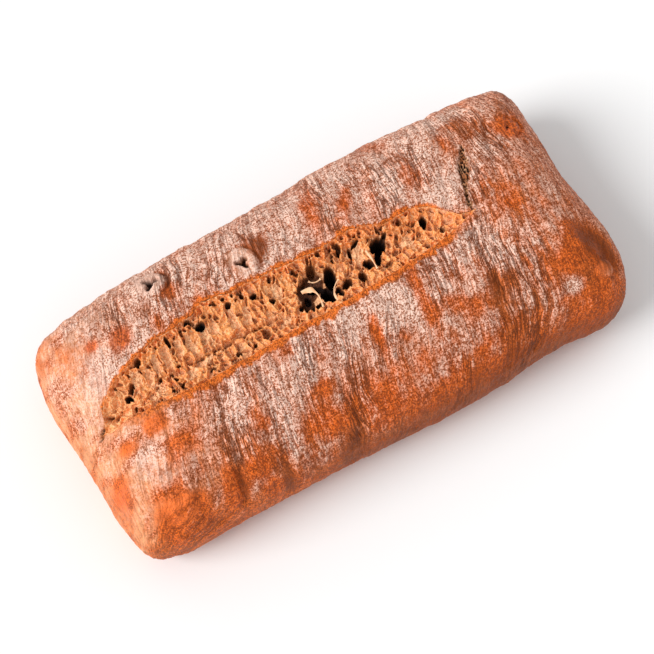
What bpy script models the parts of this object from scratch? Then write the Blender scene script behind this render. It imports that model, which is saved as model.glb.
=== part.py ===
"""Ciabatta: a long flat-bottomed loaf with soft corners and a torn gash along its top.

The loaf is one solid. X runs along it, Y across it and Z up from the face it rests on.
A cube is cut into a grid, every corner of the grid is carried onto the rounded loaf, and
the crust's relief (gash, torn holes, blisters, creases, wrinkles) is then raised or sunk
along the surface's own direction. Lengths are in metres.
"""

import math

import bmesh
import bpy
import numpy as np

NAME = "ciabatta"

# The whole loaf.
HALF_LENGTH = 0.1190
HALF_WIDTH = 0.0565
HEIGHT = 0.0575
WIDEST_HEIGHT = 0.021
BASE_TUCK = 0.0085
BASE_END_ANGLE = math.radians(66)

# How far in from an end or a side the top starts to turn down, and how square it stays.
SHOULDER_LENGTH = 0.044
SHOULDER_WIDTH = 0.043
CORNER_POWER = 7.0
CROWN_POWER = 4.0
ROUND_POWER = 2.35
SHOULDER_ANGLE = math.radians(42)
END_DROP = 0.06
SKEW = 0.045

# The grid: faces along, across and up, and how the rows across gather at the gash.
ROWS_ALONG = 90
ROWS_ACROSS = 38
ROWS_UP = 7
ROWS_BELOW_WIDEST = 4
ROW_GATHER = 0.32
ROW_GATHER_PLACE = 0.20

# Swells of the outline: (place along the edge, spread, outward amount).
NEAR_SWELLS = (
    (0.036, 0.048, 0.0052),
    (-0.085, 0.030, -0.0014),
    (0.104, 0.018, 0.0054),
    (-0.116, 0.014, -0.0022),
)
FAR_SWELLS = (
    (-0.045, 0.040, 0.0008),
    (0.034, 0.042, 0.0030),
    (-0.114, 0.022, -0.0034),
    (0.116, 0.018, -0.0016),
)
LEFT_SWELLS = ((0.026, 0.024, 0.0026), (-0.054, 0.020, -0.0022))
RIGHT_SWELLS = (
    (-0.032, 0.014, 0.0008),
    (0.036, 0.016, 0.0010),
    (-0.058, 0.014, -0.0034),
    (0.006, 0.022, -0.0012),
)

# The gash: its ends, its two lips as they run along the loaf, and its hollow.
GASH_LEFT = -0.114
GASH_RIGHT = 0.067
GASH_NEAR_LINE = -0.0095
GASH_RIGHT_RISE = 0.0080
GASH_LEFT_RISE = 0.0045
GASH_WIDTH = 0.0283
GASH_FULLEST = 0.40
GASH_FAR_SWELLS = (
    (-0.108, 0.010, -0.0055),
    (-0.090, 0.012, -0.0022),
    (-0.048, 0.006, 0.0024),
    (0.018, 0.011, 0.0038),
    (0.044, 0.009, 0.0038),
)
GASH_STEP_PLACE = 0.050
GASH_STEP_LENGTH = 0.005
GASH_END_PLACE = 0.051
GASH_END_LENGTH = 0.013
GASH_DEPTH = 0.0046
LIP_HEIGHT = 0.0011
LIP_SPREAD = 0.0024

# Torn cells in the gash: (along, across, half length, half width, depth).
GASH_CELLS = (
    (0.0007, 0.0051, 0.0042, 0.0058, 0.0110),
    (-0.0060, 0.0006, 0.0050, 0.0044, 0.0090),
    (-0.0140, -0.0014, 0.0036, 0.0040, 0.0050),
    (0.0235, 0.0061, 0.0052, 0.0042, 0.0095),
    (0.0160, 0.0015, 0.0034, 0.0032, 0.0050),
    (0.0460, 0.0061, 0.0038, 0.0030, 0.0045),
    (-0.0560, 0.0122, 0.0036, 0.0034, 0.0050),
    (-0.0310, 0.0131, 0.0034, 0.0026, 0.0036),
    (-0.0415, 0.0151, 0.0030, 0.0024, 0.0032),
    (-0.0963, 0.0034, 0.0034, 0.0028, 0.0036),
    (-0.0848, 0.0128, 0.0032, 0.0026, 0.0028),
    (-0.0482, -0.0048, 0.0030, 0.0026, 0.0024),
)
CRUMB_ROUGHNESS = 0.0011

# Blisters: (along, across, half length, half width, height, depth of the torn star).
BLISTERS = (
    (-0.0635, 0.0425, 0.0064, 0.0060, 0.0016, 0.0030),
    (-0.0275, 0.0285, 0.0060, 0.0074, 0.0016, 0.0032),
    (0.1011, -0.0480, 0.0060, 0.0050, 0.0014, 0.0),
    (0.1025, 0.0265, 0.0062, 0.0050, 0.0010, 0.0012),
)

# Hollows and creases: (start along, start across, end along, end across, width, depth).
CREASES = (
    (0.0794, 0.0271, 0.0661, 0.0043, 0.0030, 0.0017),
    (-0.0725, -0.0410, -0.0745, -0.0560, 0.0036, 0.0013),
    (0.1045, -0.0300, 0.1065, -0.0440, 0.0060, 0.0026),
    (-0.0235, -0.0500, -0.0260, -0.0580, 0.0060, 0.0012),
    (0.0600, -0.0330, 0.0500, -0.0580, 0.0040, 0.0010),
    (0.0480, 0.0500, 0.0470, 0.0560, 0.0050, 0.0010),
)

# Wrinkles of the crust: (spacing, height, starting point).
WRINKLES = ((0.0093, 0.00034, 0.3), (0.0137, 0.00030, 1.7), (0.0221, 0.00032, 4.1))
WRINKLE_LEAN = 0.25
SIDE_WRINKLE_SHARE = 0.45
DIMPLE_HEIGHT = 0.00045

CRUST_COLOUR = (0.46, 0.155, 0.045, 1.0)
CRUST_ROUGHNESS = 0.68


def clear_scene():
    """Remove every object of the scene."""
    for obj in list(bpy.data.objects):
        bpy.data.objects.remove(obj, do_unlink=True)


def smooth_step(value):
    """0 below 0, 1 above 1, and an even S between."""
    held = np.clip(value, 0.0, 1.0)
    return held * held * (3.0 - 2.0 * held)


def swell(place, swells):
    """Sum of bell-shaped swells along an edge."""
    total = np.zeros_like(place)
    for centre, spread, amount in swells:
        total += amount * np.exp(-(((place - centre) / spread) ** 2))
    return total


def grid_block():
    """A cube from -1 to 1 on every axis, its faces cut into the loaf's grid."""
    block = bmesh.new()
    bmesh.ops.create_cube(block, size=2.0)
    for axis, rows in enumerate((ROWS_ALONG, ROWS_ACROSS, ROWS_UP)):
        along = [
            edge
            for edge in block.edges
            if abs(edge.verts[0].co[axis] - edge.verts[1].co[axis]) > 1.0
        ]
        bmesh.ops.subdivide_edges(
            block, edges=along, cuts=rows - 1, use_grid_fill=True
        )
    under = [face for face in block.faces if face.calc_center_median().z < -0.999]
    bmesh.ops.dissolve_faces(block, faces=under, use_verts=True)
    return block


def contour(along, across, level):
    """Carry a place on the square onto the loaf's plan, at a level from 0 (crown) to 1 (outline)."""
    reach = np.array([HALF_LENGTH, HALF_WIDTH])
    shoulder = np.array([SHOULDER_LENGTH, SHOULDER_WIDTH])
    place = np.stack([along, across], axis=-1) * reach
    turn = np.clip(1.0 - (reach - np.abs(place)) / shoulder, 0.0, None)
    furthest = turn.max(axis=-1)
    power = CROWN_POWER + (CORNER_POWER - CROWN_POWER) * smooth_step(furthest)
    norm = (turn ** power[..., None]).sum(axis=-1) ** (1.0 / power)
    pull = np.where(norm > 0.0, level / np.maximum(norm, 1e-9), 1.0)
    new_turn = turn * pull[..., None]
    moved = reach - shoulder + shoulder * new_turn
    place = np.where(turn > 0.0, np.sign(place) * moved, place)
    return place[..., 0], place[..., 1]


def rounded_loaf(block):
    """Places on the plain rounded loaf for the cube's places, before any relief."""
    along, across, up = block[:, 0], block[:, 1], block[:, 2]
    gather = ROW_GATHER * np.sin(math.pi * (across - ROW_GATHER_PLACE))
    gather -= ROW_GATHER * np.sin(math.pi * (-1.0 - ROW_GATHER_PLACE))
    across = across - gather / math.pi
    on_top = up > 0.999
    power = 2.0 / ROUND_POWER

    # Top: the level rises from the crown to the shoulder.
    shoulder_level = math.cos(SHOULDER_ANGLE) ** power
    reach = np.array([HALF_LENGTH, HALF_WIDTH])
    shoulder = np.array([SHOULDER_LENGTH, SHOULDER_WIDTH])
    place = np.abs(np.stack([along, across], axis=-1)) * reach
    furthest = np.clip(1.0 - (reach - place) / shoulder, 0.0, 1.0).max(axis=-1)
    top_level = shoulder_level * furthest
    top_height = (1.0 - top_level**ROUND_POWER) ** (1.0 / ROUND_POWER)

    # Side: a quarter turn from the shoulder down to the widest line, then in to the base.
    share = (up + 1.0) / 2.0
    widest_share = ROWS_BELOW_WIDEST / ROWS_UP
    upper = np.clip((share - widest_share) / (1.0 - widest_share), 0.0, 1.0)
    angle = SHOULDER_ANGLE * upper
    side_level = np.cos(angle) ** power
    side_height = np.sin(angle) ** power
    lower = np.clip((widest_share - share) / widest_share, 0.0, 1.0) * BASE_END_ANGLE
    tuck = BASE_TUCK * (1.0 - np.cos(lower)) / (1.0 - math.cos(BASE_END_ANGLE))
    drop = np.sin(lower) / math.sin(BASE_END_ANGLE)
    below = share < widest_share
    level = np.where(on_top, top_level, np.where(below, 1.0 - tuck / SHOULDER_WIDTH, side_level))
    rise = np.where(on_top, top_height, side_height)

    x, y = contour(along, across, level)
    crown = HEIGHT * (1.0 - END_DROP * (x / HALF_LENGTH) ** 2) - WIDEST_HEIGHT
    z = np.where(below, WIDEST_HEIGHT * (1.0 - drop), WIDEST_HEIGHT + crown * rise)
    return np.stack([x, y, z], axis=-1)


def drift(points):
    """Push the outline in and out, and lean the ends, so that no edge is straight."""
    x, y, z = points.T
    near = np.clip(-y / HALF_WIDTH, 0.0, 1.2) ** 1.5
    far = np.clip(y / HALF_WIDTH, 0.0, 1.2) ** 1.5
    left = np.clip(-x / HALF_LENGTH, 0.0, 1.2) ** 3
    right = np.clip(x / HALF_LENGTH, 0.0, 1.2) ** 3
    new_y = y - near * swell(x, NEAR_SWELLS) + far * swell(x, FAR_SWELLS)
    new_x = x - left * swell(y, LEFT_SWELLS) + right * swell(y, RIGHT_SWELLS) + SKEW * y
    return np.stack([new_x, new_y, z], axis=-1)


def centred(points):
    """Points moved level so that the middle of their box is over the origin."""
    low, high = points.min(axis=0), points.max(axis=0)
    middle = (low + high) / 2.0
    return points - np.array([middle[0], middle[1], 0.0])


def gash_place(x, y):
    """(share of the length, share of the width from the near lip) of a place in the gash."""
    along = (x - GASH_LEFT) / (GASH_RIGHT - GASH_LEFT)
    held = np.clip(along, 0.0, 1.0)
    skewed = held ** (math.log(0.5) / math.log(GASH_FULLEST))
    step = 1.0 - smooth_step((x - GASH_STEP_PLACE) / GASH_STEP_LENGTH)
    open_width = GASH_WIDTH * np.sqrt(np.clip(np.sin(math.pi * skewed), 0.0, 1.0))
    end = 1.0 - 0.75 * smooth_step((x - GASH_END_PLACE) / GASH_END_LENGTH)
    open_width = np.maximum((open_width + step * swell(x, GASH_FAR_SWELLS)) * end, 0.0004)
    near_lip = GASH_NEAR_LINE + GASH_RIGHT_RISE * held**8
    near_lip = near_lip + GASH_LEFT_RISE * (1.0 - smooth_step(held / 0.3))
    return along, (y - near_lip) / open_width, open_width


def gash_relief(x, y):
    """The hollow of the gash, its raised lips and its rough crumb with torn cells."""
    along, across, open_width = gash_place(x, y)
    inside_length = smooth_step(along / 0.03) * smooth_step((1.0 - along) / 0.03)
    near_wall = smooth_step(across / 0.16)
    far_wall = smooth_step((1.0 - across) / 0.42)
    hollow = near_wall * far_wall * inside_length * smooth_step(open_width / 0.016)
    from_near = across * open_width / LIP_SPREAD
    from_far = (across - 1.0) * open_width / LIP_SPREAD
    lips = np.exp(-((from_near + 0.5) ** 2)) + 0.8 * np.exp(-((from_far - 0.5) ** 2))
    rough = np.sin(x * 790.0 + 2.2 * np.sin(y * 640.0)) * np.sin(y * 1010.0 + 2.0 * np.sin(x * 310.0))
    relief = LIP_HEIGHT * lips * inside_length - GASH_DEPTH * hollow
    relief = relief + CRUMB_ROUGHNESS * rough * hollow
    for centre_x, centre_y, half_x, half_y, depth in GASH_CELLS:
        out = ((x - centre_x) / half_x) ** 2 + ((y - centre_y) / half_y) ** 2
        relief = relief - depth * np.exp(-(out**1.5)) * smooth_step(hollow * 3.0)
    return relief, hollow


def blister_relief(x, y):
    """Raised blisters, some with a torn star at the top."""
    relief = np.zeros_like(x)
    for centre_x, centre_y, half_x, half_y, height, hole in BLISTERS:
        out = ((x - centre_x) / half_x) ** 2 + ((y - centre_y) / half_y) ** 2
        relief += height * np.exp(-(out**2))
        relief -= hole * np.exp(-(9.0 * out))
    return relief


def crease_relief(x, y):
    """Sunken creases, each along a straight line with soft ends."""
    relief = np.zeros_like(x)
    for start_x, start_y, end_x, end_y, width, depth in CREASES:
        run = np.array([end_x - start_x, end_y - start_y])
        length = math.hypot(*run)
        share = ((x - start_x) * run[0] + (y - start_y) * run[1]) / length**2
        held = np.clip(share, 0.0, 1.0)
        off = np.hypot(x - start_x - held * run[0], y - start_y - held * run[1])
        relief -= depth * np.exp(-((off / width) ** 2))
    return relief


def crust_relief(x, y, z):
    """Low wrinkles across the loaf, bent by slow waves, and broad dimples."""
    lean = x - WRINKLE_LEAN * y + 0.0035 * np.sin(y * 55.0 + x * 20.0)
    lean += 0.0030 * np.sin(x * 61.0 + 2.0) + 0.0016 * np.sin(x * 143.0 + y * 24.0)
    relief = np.zeros_like(x)
    for spacing, height, start in WRINKLES:
        wave = np.sin(2.0 * math.pi * lean / spacing + start + 1.5 * np.sin(y * 70.0 + start))
        fade = 0.6 + 0.4 * np.sin(x * 47.0 + start) * np.sin(y * 52.0 + x * 31.0 + start)
        relief += height * fade * (wave - 0.35 * wave**2)
    relief += DIMPLE_HEIGHT * np.sin(x * 130.0 + 1.0) * np.sin(y * 150.0 + x * 60.0 + 2.0)
    share = SIDE_WRINKLE_SHARE + (1.0 - SIDE_WRINKLE_SHARE) * smooth_step((z - 0.024) / 0.022)
    return relief * share


def relief_height(points):
    """How far the crust stands out (or is sunk) at each place, along the surface's direction."""
    x, y, z = points.T
    gash, hollow = gash_relief(x, y)
    on_top = smooth_step((z - 0.030) / 0.012)
    off_base = smooth_step(z / 0.010)
    crust = crust_relief(x, y, z) + blister_relief(x, y) + crease_relief(x, y)
    return gash * on_top + crust * off_base * (1.0 - smooth_step(hollow * 4.0))


def make_crust_material():
    """Baked crust, browned and dry."""
    material = bpy.data.materials.new("ciabatta_crust")
    material.use_nodes = True
    shader = material.node_tree.nodes["Principled BSDF"]
    shader.inputs["Base Color"].default_value = CRUST_COLOUR
    shader.inputs["Roughness"].default_value = CRUST_ROUGHNESS
    shader.inputs["Metallic"].default_value = 0.0
    return material


def make_loaf():
    """The loaf: the gridded cube, rounded, drifted and given its relief."""
    block = grid_block()
    block.verts.ensure_lookup_table()
    places = np.array([vert.co[:] for vert in block.verts])
    points = centred(drift(rounded_loaf(places)))
    for vert, point in zip(block.verts, points):
        vert.co = point
    block.normal_update()
    outward = np.array([vert.normal[:] for vert in block.verts])
    resting = places[:, 2] < -0.999
    height = np.where(resting, 0.0, relief_height(points))
    points = points + outward * height[:, None]
    points[:, 2] = np.where(resting, 0.0, points[:, 2])
    points = centred(points)
    for vert, point in zip(block.verts, points):
        vert.co = point

    mesh = bpy.data.meshes.new(NAME)
    block.to_mesh(mesh)
    block.free()
    mesh.shade_smooth()
    mesh.set_sharp_from_angle(angle=math.radians(60))
    mesh.materials.append(make_crust_material())
    return bpy.data.objects.new(NAME, mesh)


def main():
    """Clear the scene and build the loaf in its own collection."""
    clear_scene()
    collection = bpy.data.collections.new("Ciabatta loaf")
    bpy.context.scene.collection.children.link(collection)
    collection.objects.link(make_loaf())


main()
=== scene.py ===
"""Ciabatta: its wrinkled, floured crust, its torn open crumb and a plain studio.

Every surface is a function of two parameters on a grid, worked out as whole numpy arrays in
millimetres and put into a mesh in metres. X runs along the loaf, Y across it, Z up.
"""

import math

import bpy
import numpy as np
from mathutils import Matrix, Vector


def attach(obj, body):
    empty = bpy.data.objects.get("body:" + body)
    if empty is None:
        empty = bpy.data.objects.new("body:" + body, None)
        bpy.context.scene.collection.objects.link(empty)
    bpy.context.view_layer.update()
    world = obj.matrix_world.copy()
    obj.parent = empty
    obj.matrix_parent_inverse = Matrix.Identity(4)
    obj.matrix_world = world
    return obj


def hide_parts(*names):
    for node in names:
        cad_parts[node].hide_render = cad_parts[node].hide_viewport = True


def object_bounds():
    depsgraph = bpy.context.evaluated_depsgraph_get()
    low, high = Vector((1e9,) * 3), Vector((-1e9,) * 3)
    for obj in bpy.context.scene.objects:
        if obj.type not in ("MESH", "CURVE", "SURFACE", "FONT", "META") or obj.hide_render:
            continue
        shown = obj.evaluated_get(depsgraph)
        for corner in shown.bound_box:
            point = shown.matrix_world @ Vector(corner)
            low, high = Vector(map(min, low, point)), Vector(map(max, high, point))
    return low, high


bl_info = {
    "name": "Ciabatta Loaf",
    "version": (1, 0, 0),
    "blender": (4, 5, 0),
    "location": "3D View > Sidebar > Ciabatta",
    "description": "Builds a ciabatta's wrinkled crust and torn crumb from named sizes",
    "category": "Add Mesh",
}

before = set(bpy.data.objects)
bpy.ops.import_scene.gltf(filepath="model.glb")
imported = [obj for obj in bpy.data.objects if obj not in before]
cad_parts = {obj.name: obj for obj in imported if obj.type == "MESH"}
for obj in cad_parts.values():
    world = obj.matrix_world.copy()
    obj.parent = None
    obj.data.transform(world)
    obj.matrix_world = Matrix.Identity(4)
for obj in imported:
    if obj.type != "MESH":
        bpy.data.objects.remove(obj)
CAD_BOX = [list(corner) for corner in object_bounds()]

# The plain rounded loaf, in millimetres.
HALF_LENGTH = 119.0
HALF_WIDTH = 56.5
HEIGHT = 57.5
WIDEST_HEIGHT = 21.0
BASE_TUCK = 8.5
BASE_END_ANGLE = math.radians(66)
SHOULDER_LENGTH = 44.0
SHOULDER_WIDTH = 43.0
CORNER_POWER = 7.0
CROWN_POWER = 4.0
ROUND_POWER = 2.35
SHOULDER_ANGLE = math.radians(42)
WIDEST_SHARE = 4.0 / 7.0
END_DROP = 0.06
SKEW = 0.045
NEAR_SWELLS = ((36, 48, 5.2), (-85, 30, -1.4), (104, 18, 5.4), (-116, 14, -2.2))
FAR_SWELLS = ((-45, 40, 0.8), (34, 42, 3.0), (-114, 22, -3.4), (116, 18, -1.6))
LEFT_SWELLS = ((26, 24, 2.6), (-54, 20, -2.2))
RIGHT_SWELLS = ((-32, 14, 0.8), (36, 16, 1.0), (-58, 14, -3.4), (6, 22, -1.2))

# The gash, in millimetres: its ends, its near lip, and the width and swells of its far lip.
GASH_LEFT = -114.0
GASH_RIGHT = 67.0
GASH_NEAR_LINE = -9.5
GASH_RIGHT_RISE = 8.0
GASH_LEFT_RISE = 4.5
GASH_WIDTH = 28.3
GASH_FULLEST = 0.40
GASH_FAR_SWELLS = (
    (-108, 10, -5.5), (-90, 12, -2.2), (-48, 6, 2.4), (18, 11, 3.8), (44, 9, 3.8),
)
GASH_STEP_PLACE = 50.0
GASH_STEP_LENGTH = 5.0
GASH_END_PLACE = 51.0
GASH_END_LENGTH = 13.0
# How far the near and far lips stand up, how far out the rise is highest and how wide it is,
# and how far down their edges roll.
LIP_LIFT = (0.8, 0.2)
LIFT_PLACE = 1.4
LIFT_SPREAD = 2.2
LIP_ROLL = (0.7, 0.25)

# Torn cells in the crumb: (along, across, half length, half width, turn in degrees, depth,
# painted shade).
TORN_CELLS = (
    (0.4, 4.8, 5.2, 2.7, 70, 14, 1), (-4, -1.2, 4.6, 3.2, 96, 13, 1),
    (-7.4, 4.6, 4.2, 2, -31, 10, 0.96), (-12, 2, 2.2, 1.5, 80, 8, 0.95),
    (-13.2, -0.2, 3.6, 2.9, 60, 5.6, 0.72), (-9, 5.4, 7, 4.6, 20, 4.4, 0.74),
    (-16.2, -0.4, 1.4, 1.1, 30, 6.6, 0.95), (-12.6, -2.6, 1.7, 1.1, 60, 6.6, 0.95),
    (-9.6, -3.4, 2.2, 1.8, 0, 6.6, 0.8), (0.5, -2.6, 2.5, 1.5, 98, 10, 1),
    (5, -1, 2.6, 1.9, 30, 5, 0.75), (-5.4, 10.4, 3.4, 2.2, 60, 4.6, 0.5),
    (24.6, 6.8, 3.9, 3.5, 30, 13, 1), (21.6, 2, 3.4, 1.5, 60, 9, 1),
    (28.4, 8.6, 1.9, 1, 40, 4, 0.8), (17.2, 1.8, 2.8, 1.8, -50, 6.6, 0.9),
    (12.1, -1.6, 2.7, 1.8, 80, 4.6, 0.6), (24.2, -2.6, 2, 1.1, 0, 2.6, 0.4),
    (16.4, 11.8, 2.6, 0.8, 20, 4, 0.85), (12.6, 9.4, 2.8, 0.8, 74, 3.6, 0.8),
    (9.2, 13.2, 2.4, 1.2, 70, 3.6, 0.7), (4.6, 10.4, 1.1, 0.6, 60, 2.4, 0.6),
    (30.4, 12.4, 1.4, 0.8, 20, 2.6, 0.7), (-22, 15.6, 1.3, 0.8, 70, 2.6, 0.7),
    (-12, 13.4, 1.6, 0.9, 80, 2.8, 0.6), (0.4, 15.2, 1.6, 1.2, 60, 2.8, 0.5),
    (46, 6, 2.5, 1.8, 60, 5.6, 0.9), (51, -1, 2.2, 1.2, 70, 2.4, 0.4),
    (-25, 8.2, 1.5, 1.2, 0, 4.2, 0.8), (-31, 13.2, 1.9, 1.3, 20, 4.4, 0.8),
    (-35, 15.4, 1.8, 0.9, 80, 2.8, 0.6), (-41.5, 15.2, 1.4, 1.3, 0, 4, 0.8),
    (-42.2, 18.4, 0.9, 0.8, 0, 2.6, 0.7), (-47.4, 18.6, 0.9, 0.8, 0, 2.6, 0.7),
    (-38.4, 17.6, 1.1, 0.7, 70, 2.4, 0.6), (-55.8, 13.2, 2.5, 1.8, 15, 7, 1),
    (-59.6, 17, 1.7, 1.1, 15, 4.4, 1), (-70.2, 14.2, 2.5, 0.9, 85, 3.8, 0.7),
    (-84.8, 13, 1.9, 1.5, 60, 3.6, 0.6), (-96.2, 3.4, 1.7, 1.4, 40, 4.6, 1),
    (-92.8, 6.3, 2.6, 0.7, 36, 2.6, 0.6), (-95.4, -2.6, 1.6, 0.8, 80, 2.4, 0.6),
    (-80.2, 3, 1, 0.8, 40, 2.6, 0.6), (-75.4, 2.2, 0.9, 0.7, 0, 2.2, 0.6),
    (-74.6, -0.6, 1.2, 0.6, -50, 2.4, 0.8), (-71.2, 4, 1, 0.7, 0, 2.2, 0.5),
    (-78.2, -4.8, 1.1, 0.8, 70, 2.6, 0.7), (-73.8, -4.6, 1.5, 0.9, 30, 2.8, 0.7),
    (-60.2, -5, 1.5, 1, -15, 2.8, 0.6), (-48.2, -4.8, 1.4, 1.3, 0, 3.2, 0.6),
    (-34.2, -2.6, 2.7, 2, 80, 2.8, 0.25), (-41, -5.4, 1.2, 0.8, 60, 2.4, 0.6),
)
# Depths of the crumb's three sizes of cell, of the ditch by its ledge and of its small holes.
CELL_DEPTHS = (2.3, 1.05, 0.40)
DITCH_DEPTH = 1.3
HOLE_DEPTH = 1.6
# Broad open cells, in the same measures: taller across the loaf than along it.
POCKETS = (
    (15.4, 7.6, 4.6, 2.8, 60, 1.6), (-55.6, 9.6, 4.6, 2.4, 84, 3),
    (-50.8, 10.4, 3.6, 1.8, 84, 2.8), (-62.6, 9.6, 4.4, 1.8, 84, 2.6),
    (-67.4, 9.6, 4.4, 1.8, 82, 2.6), (-73.4, 9.2, 4.8, 2.2, 86, 2.8),
    (-78.8, 8.6, 4.4, 1.8, 80, 2.5), (-83.6, 5.8, 4.2, 2, 70, 2.6),
    (-88.8, 7.6, 3.8, 2.2, 66, 2.4), (-42.6, 9.6, 4.2, 2.2, 86, 2.6), (-36.8, 8.6, 4, 2, 80, 2.3),
    (-21.4, 10.6, 3.8, 2.2, 84, 2.2), (-68, -1.6, 4, 1.9, 30, 1.6), (-59.6, 0.4, 3, 1.8, 20, 1.4),
    (-84, -1.4, 4.4, 1.8, 20, 1.5), (36, 2.4, 3.6, 2.6, 20, 1.6), (-24.6, -2.4, 3, 2.2, 40, 1.6),
    (-6.6, 3.4, 9.8, 7, 10, 4),
)

# Blisters: (along, across, half length, half width, height, size of the torn star, its depth,
# flour on the dome).
BLISTERS = (
    (-62.6, 41.6, 6.4, 5.8, 1.8, 2.7, 2.8, 1), (-27, 27.6, 5.8, 7.8, 1.7, 2.2, 3, 0.1),
    (101.1, -48.3, 4.4, 3.6, 1.1, 0, 0, 0.4), (102.6, 26.8, 5.4, 4.6, 0.9, 0.8, 0.9, -0.2),
)
# The torn stars stand off their blisters' middles by this much.
STAR_SHIFT = (-0.2, -0.4)

# Creases: (start along, start across, end along, end across, half width, depth).
CREASES = (
    (-72.8, -45, -74.4, -62, 1.8, 1.1), (-54.4, -51, -55, -76, 2.4, 0.9),
    (-23.5, -55, -26, -80, 5, 1.2), (-20.4, -46, -20.6, -60, 1.1, 0.8),
    (-91, -45, -84, -66, 2.4, 0.8), (-107, -42, -93, -68, 1.6, 0.6), (57, -30, 48, -66, 2.4, 0.9),
    (72, -30, 62, -68, 1.6, 0.8), (104, -31, 107, -46, 5.5, 2.4), (48, 50, 47, 58, 5, 0.9),
)
# Strands across torn cells: three places (along, across, height), the half sizes where fullest,
# and the share of the way along at which that is.
STRANDS = (
    ((-13.0, 4.6, 53.8), (-5.8, 4.6, 55.4), (-8.8, -5.4, 53.4), 1.45, 0.28, 0.28),
    ((2.4, 1.4, 54.8), (-3.6, -1.4, 54.8), (-1.8, -6.4, 53.6), 0.60, 0.35, 0.78),
    ((-8.0, 7.6, 53.8), (-6.6, 5.2, 53.2), (-3.2, 6.0, 53.6), 0.26, 0.30, 0.50),
    ((18.8, 6.6, 54.8), (19.2, 2.2, 54.8), (18.8, -2.2, 53.6), 0.60, 0.35, 0.30),
)
# Narrow tears beyond the gash's ends: (start, end) as above, and how far they open.
SLITS = (
    (78.6, 26.6, 66.6, 4.8, 1.9), (66.8, 6, 65.2, -1, 0.9), (-108.2, -1.4, -113.4, -4.4, 1),
)

# Bundles of strong wrinkles: (along, across, half length, half width, turn in degrees, amount).
BUNDLES = (
    (-62, -26, 15, 7, 70, 1), (-70, -33, 12, 4, 76, 0.8), (-50, -40, 16, 5, 82, 0.9),
    (-28, -21, 11, 5, 72, 1.2), (-13, -24, 11, 4, 78, 0.8), (-14, -43, 9, 4, 74, 1.1),
    (-34, -38, 10, 3, 78, 0.6), (35, -18, 11, 5, 74, 1), (46, -20, 12, 5, 74, 0.6),
    (62, -20, 15, 7, 72, 1), (62, -50, 26, 9, 74, 1.1), (77, -34, 12, 5, 62, 0.7),
    (6, -34, 12, 4, 84, 0.5), (28, -60, 12, 4, 86, 0.7), (-20, -52, 12, 4, 88, 0.8),
    (-90, -58, 12, 8, -64, 0.8), (-64, 25, 8, 6, 72, 1), (-82, 38, 12, 6, 80, 0.6),
    (-52, 42, 10, 6, 78, 0.6), (-37, 31, 12, 5, 70, 0.9), (-20, 38, 10, 3, 84, 0.9),
    (-6, 30, 12, 6, 76, 0.4), (13, 25, 8, 4, 74, 1), (17, 43, 8, 4, 78, 0.9),
    (40, 27, 13, 6, 68, 1.1), (58, 27, 12, 5, 66, 0.7), (90, 30, 14, 7, 94, 1.1),
    (72, 4, 12, 5, 68, 0.9),
)

# Patches of the crust, in the same measures, on the crust flattened out.
BARE_PATCHES = (
    (9, 36, 14, 4.2, 71, 1), (22, 29.5, 10, 4.2, 62, 0.85), (52, 27, 8.5, 4.6, 64, 0.75),
    (33, 24, 6, 2.4, 76, 0.5), (73, 32, 7, 3.4, 76, 0.6), (-69, 25, 6, 3, 76, 0.6),
    (-58, 34, 5, 4, 20, 0.6), (-50, 23, 8, 3, 0, 0.45), (-102, 24, 7, 3.2, 80, 0.45),
    (-108, 32, 13, 4, 84, 0.5), (-92, -13.5, 6, 4.6, 0, 1.2), (-104, -15.5, 5, 3.8, 0, 1),
    (-87, -26, 12, 6, 10, 0.75), (-98, -52, 16, 12, -52, 1.3), (-76.5, -51, 11, 4, 86, 1.1),
    (-62, -47, 7, 6, 0, 0.9), (-62, -63, 8, 6, 90, 0.8), (-56, -34, 5, 4.4, 0, 0.8),
    (-33, -16, 6, 3.2, 76, 0.55), (-31, -46, 13, 8, 0, 0.9), (-27, -35, 6, 4, 0, 0.7),
    (-8, -52, 8, 11, 0, 0.8), (2.4, -28, 10, 2.6, 78, 1.1), (26, -25, 15, 3.4, 80, 1),
    (35, -32, 5.5, 4.4, 0, 0.8), (12, -34, 3.6, 3, 0, 0.4), (8, -43, 16, 5, 0, 0.5),
    (45, -38, 6.5, 4.6, 0, 0.8), (30, -60, 44, 14, 0, 0.85), (79, -6, 12, 9, 60, 0.75),
    (86, -38, 9, 7, 0, 0.9), (101, -36, 13, 8, -70, 1), (92, -62, 18, 18, 0, 0.9),
    (104, 27, 9, 7, 0, 0.9), (-119, -25, 8, 6, 0, 1.1), (-120, 42, 11, 12, 0, 0.6),
    (-70, -56, 44, 18, 0, 0.25), (60, -34, 10, 6, 60, 0.4),
)
RED_PATCHES = (
    (-85, 25, 5.6, 4.4, 60, 1.6), (-96, 29, 2.8, 2.4, 0, 1.6), (-56, 34, 5, 4, 0, 0.3),
    (102, 25, 5, 3, 0, 0.7), (-120, -27, 10, 8, 0, 0.6), (-93, -33, 9, 5, 0, 0.35),
    (-24, 24, 5, 3, 0, 0.3),
)
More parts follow.
